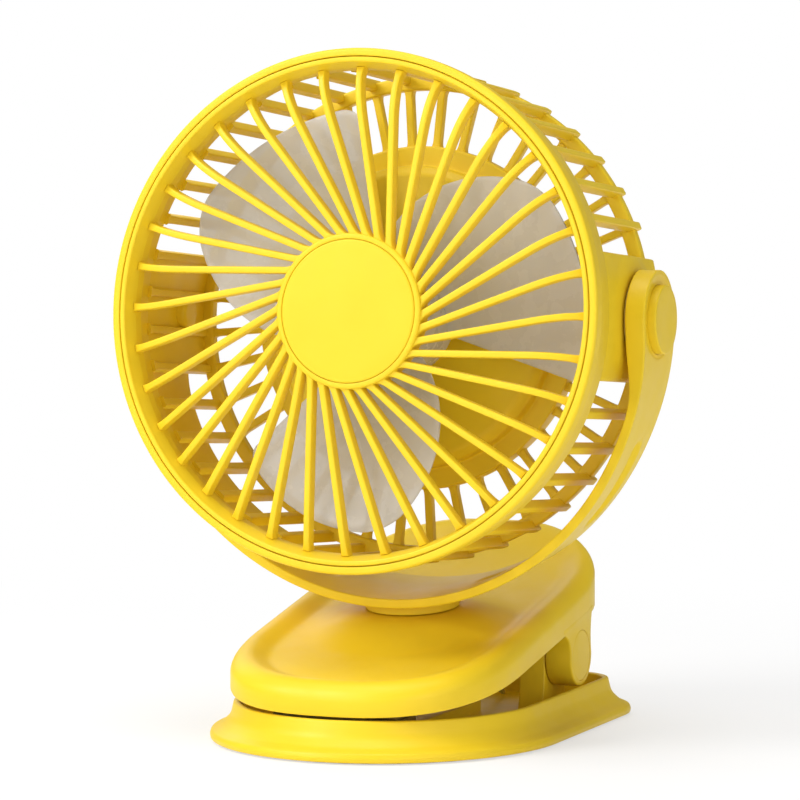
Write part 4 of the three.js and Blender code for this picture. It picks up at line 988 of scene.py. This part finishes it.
def clipSpring():
    half = spring["turns"] * spring["pitch"] / 2
    first, last = legAngle(1), legAngle(-1)
    steps = spring["turns"] * spring["stepsPerTurn"]
    sweep = spring["turns"] * 2 * math.pi + last - first
    coil = []
    for k in range(steps + 1):
        angle = first + sweep * k / steps
        coil.append(Vector((-half + 2 * half * k / steps, clip["hingeBack"] + spring["radius"] * math.cos(angle),
                            clip["hingeHeight"] + spring["radius"] * math.sin(angle))))
    ends = []
    for point, angle, side in ((coil[0], first, 1), (coil[-1], last, -1)):
        reach = side * spring["leg"]
        ends.append(point + Vector((0, reach * math.sin(angle), -reach * math.cos(angle))))
    wire = bpy.data.curves.new("springWire", "CURVE")
    wire.dimensions = "3D"
    wire.bevel_depth = spring["wire"]
    wire.bevel_resolution = 4
    wire.use_fill_caps = True
    line = wire.splines.new("POLY")
    path = [ends[0]] + coil + [ends[1]]
    line.points.add(len(path) - 1)
    for spot, point in zip(line.points, path):
        spot.co = (*point, 1)
    holder = linked("springWire", wire)
    mesh = bpy.data.meshes.new_from_object(holder.evaluated_get(bpy.context.evaluated_depsgraph_get()))
    bm = bmesh.new()
    bm.from_mesh(mesh)
    bmesh.ops.remove_doubles(bm, verts=bm.verts, dist=mergeGap)
    bpy.data.objects.remove(holder)
    bpy.data.meshes.remove(mesh)
    return bm


finished("upperJaw", upperJaw(), toMetres, "clip", ["upper_jaw"])
finished("trayJaw", lowerJaw(), toMetres, "base", ["lower_jaw"])
finished("hingeCapRight", hingeCap(1), toMetres, "clip", ["hinge_cap_right"])
finished("hingeCapLeft", hingeCap(-1), toMetres, "clip", ["hinge_cap_left"])
finished("coilSpring", clipSpring(), toMetres, "base", ["clip_spring"], zincSteel)


# Parts that keep their plain solids get their finish
keptFinishes = {
    # the grip pads and the friction washers get colours that are painted shade
    "sole_pad": soleRubber, "grip_pad_lower": gripPaintedShade, "grip_pad_upper": gripPaintedShade,
    "hinge_pin": zincSteel, "swivel_retainer": nylon, "swivel_screw": zincSteel, "pivot_screw_right": zincSteel,
    "pivot_screw_left": zincSteel, "friction_washer_right": washerPaintedShade, "friction_washer_left": washerPaintedShade,
    "motor": motorCan, "motor_shaft": zincSteel, "motor_screw_1": zincSteel, "motor_screw_2": zincSteel,
    "battery": foil, "control_board": greenBoard, "speed_switch": blackPlastic, "charging_socket": motorCan, "indicator_lens": lightPipe,
}
for name, finish in keptFinishes.items():
    mesh = nodes[name].data
    mesh.materials.clear()
    mesh.materials.append(finish)
print("kept parts finished")


# Floor, room, lamps and camera, in metres and watts
studio = {"floorSize": 8.0, "floorWhite": 0.93, "shadowShare": 0.4, "shadowReach": 0.42, "roomLight": 0.25,
          "azimuth": 22.57, "elevation": 3.21, "distance": 0.992, "lens": 156.6, "sensor": 36,
          "lookHeight": 0.09528}
lamps = {  # where each stands, what it aims at, its size and its watts
    "keyLight": ((-0.85, -0.95, 1.05), (0, 0, 0.11), (0.6, 0.6), 14),
    "topLight": ((-0.1, -0.15, 1.4), (0, 0, 0.1), (1.0, 0.8), 9),
    "frontFill": ((-0.58, -1.32, 0.5), (0, 0, 0.1), (0.7, 0.6), 5),
    "lowFill": ((0.95, -1.1, 0.3), (0, 0, 0.02), (0.5, 0.5), 3.2),
    "sideFill": ((1.3, -0.45, 0.5), (0, 0, 0.1), (0.8, 1.0), 2.6),
    "backFill": ((-0.95, 1.0, 0.8), (0, 0, 0.1), (1.2, 0.8), 4),
}


def eitherRay(tree, first, second):
    rays = tree.nodes.new("ShaderNodeLightPath")
    seen = tree.nodes.new("ShaderNodeMath")
    seen.operation = "MAXIMUM"
    tree.links.new(rays.outputs[first], seen.inputs[0])
    tree.links.new(rays.outputs[second], seen.inputs[1])
    return seen.outputs[0]


def whiteFloor():
    bm = bmesh.new()
    bmesh.ops.create_grid(bm, x_segments=1, y_segments=1, size=studio["floorSize"] / 2)
    mesh = meshOf("studioFloor", bm)
    finish = bpy.data.materials.new("floorWhite")
    finish.use_nodes = True
    tree = finish.node_tree
    shader = tree.nodes["Principled BSDF"]
    shader.inputs["Base Color"].default_value = (*[studio["floorWhite"]] * 3, 1)
    shader.inputs["Roughness"].default_value = 0.9
    shader.inputs["Specular IOR Level"].default_value = 0.1
    glow = tree.nodes.new("ShaderNodeEmission")
    mixer = tree.nodes.new("ShaderNodeMixShader")
    coords = tree.nodes.new("ShaderNodeTexCoord")
    away = tree.nodes.new("ShaderNodeVectorMath")
    away.operation = "LENGTH"
    tree.links.new(coords.outputs["Object"], away.inputs[0])
    fade = tree.nodes.new("ShaderNodeMapRange")  # far from the fan the floor is as white as the room
    fade.interpolation_type = "SMOOTHSTEP"
    fade.inputs["From Min"].default_value = 0.05
    fade.inputs["From Max"].default_value = studio["shadowReach"]
    fade.inputs["To Min"].default_value = 1 - studio["shadowShare"]
    tree.links.new(away.outputs["Value"], fade.inputs["Value"])
    share = tree.nodes.new("ShaderNodeMath")
    share.operation = "MULTIPLY"
    tree.links.new(fade.outputs["Result"], share.inputs[1])
    tree.links.new(eitherRay(tree, "Is Camera Ray", "Is Glossy Ray"), share.inputs[0])
    tree.links.new(share.outputs[0], mixer.inputs["Fac"])
    tree.links.new(shader.outputs["BSDF"], mixer.inputs[1])
    tree.links.new(glow.outputs["Emission"], mixer.inputs[2])
    tree.links.new(mixer.outputs["Shader"], tree.nodes["Material Output"].inputs["Surface"])
    mesh.materials.append(finish)
    floor = linked("studioFloor", mesh)


def whiteRoom():
    world = bpy.data.worlds.new("studioRoom")
    bpy.context.scene.world = world
    world.use_nodes = True
    tree = world.node_tree
    surround = tree.nodes["Background"]
    surround.inputs["Color"].default_value = (1, 1, 1, 1)
    surround.inputs["Strength"].default_value = studio["roomLight"]
    plain = tree.nodes.new("ShaderNodeBackground")
    plain.inputs["Color"].default_value = (1, 1, 1, 1)
    mixer = tree.nodes.new("ShaderNodeMixShader")
    tree.links.new(eitherRay(tree, "Is Camera Ray", "Is Transmission Ray"), mixer.inputs["Fac"])
    tree.links.new(surround.outputs["Background"], mixer.inputs[1])
    tree.links.new(plain.outputs["Background"], mixer.inputs[2])
    tree.links.new(mixer.outputs["Shader"], tree.nodes["World Output"].inputs["Surface"])


def softBox(name, place, aim, size, watts):
    light = bpy.data.lights.new(name, "AREA")
    light.shape = "RECTANGLE"
    light.size, light.size_y = size
    light.energy = watts
    lamp = linked(name, light)
    lamp.location = place
    lamp.rotation_euler = (Vector(aim) - Vector(place)).to_track_quat("-Z", "Y").to_euler()


whiteFloor()
whiteRoom()
for name, settings in lamps.items():
    softBox(name, *settings)

turn, rise = math.radians(studio["azimuth"]), math.radians(studio["elevation"])
lookAt = Vector((0, 0, studio["lookHeight"]))
backwards = Vector((math.sin(turn) * math.cos(rise), -math.cos(turn) * math.cos(rise), math.sin(rise)))
lens = bpy.data.cameras.new("photoCamera")
lens.lens = studio["lens"]
lens.sensor_width = studio["sensor"]
camera = linked("photoCamera", lens)
camera.location = lookAt + backwards * studio["distance"]
camera.rotation_euler = backwards.to_track_quat("Z", "Y").to_euler()
bpy.context.scene.camera = camera
bpy.context.scene.view_settings.view_transform = "Standard"
print("studio ready")
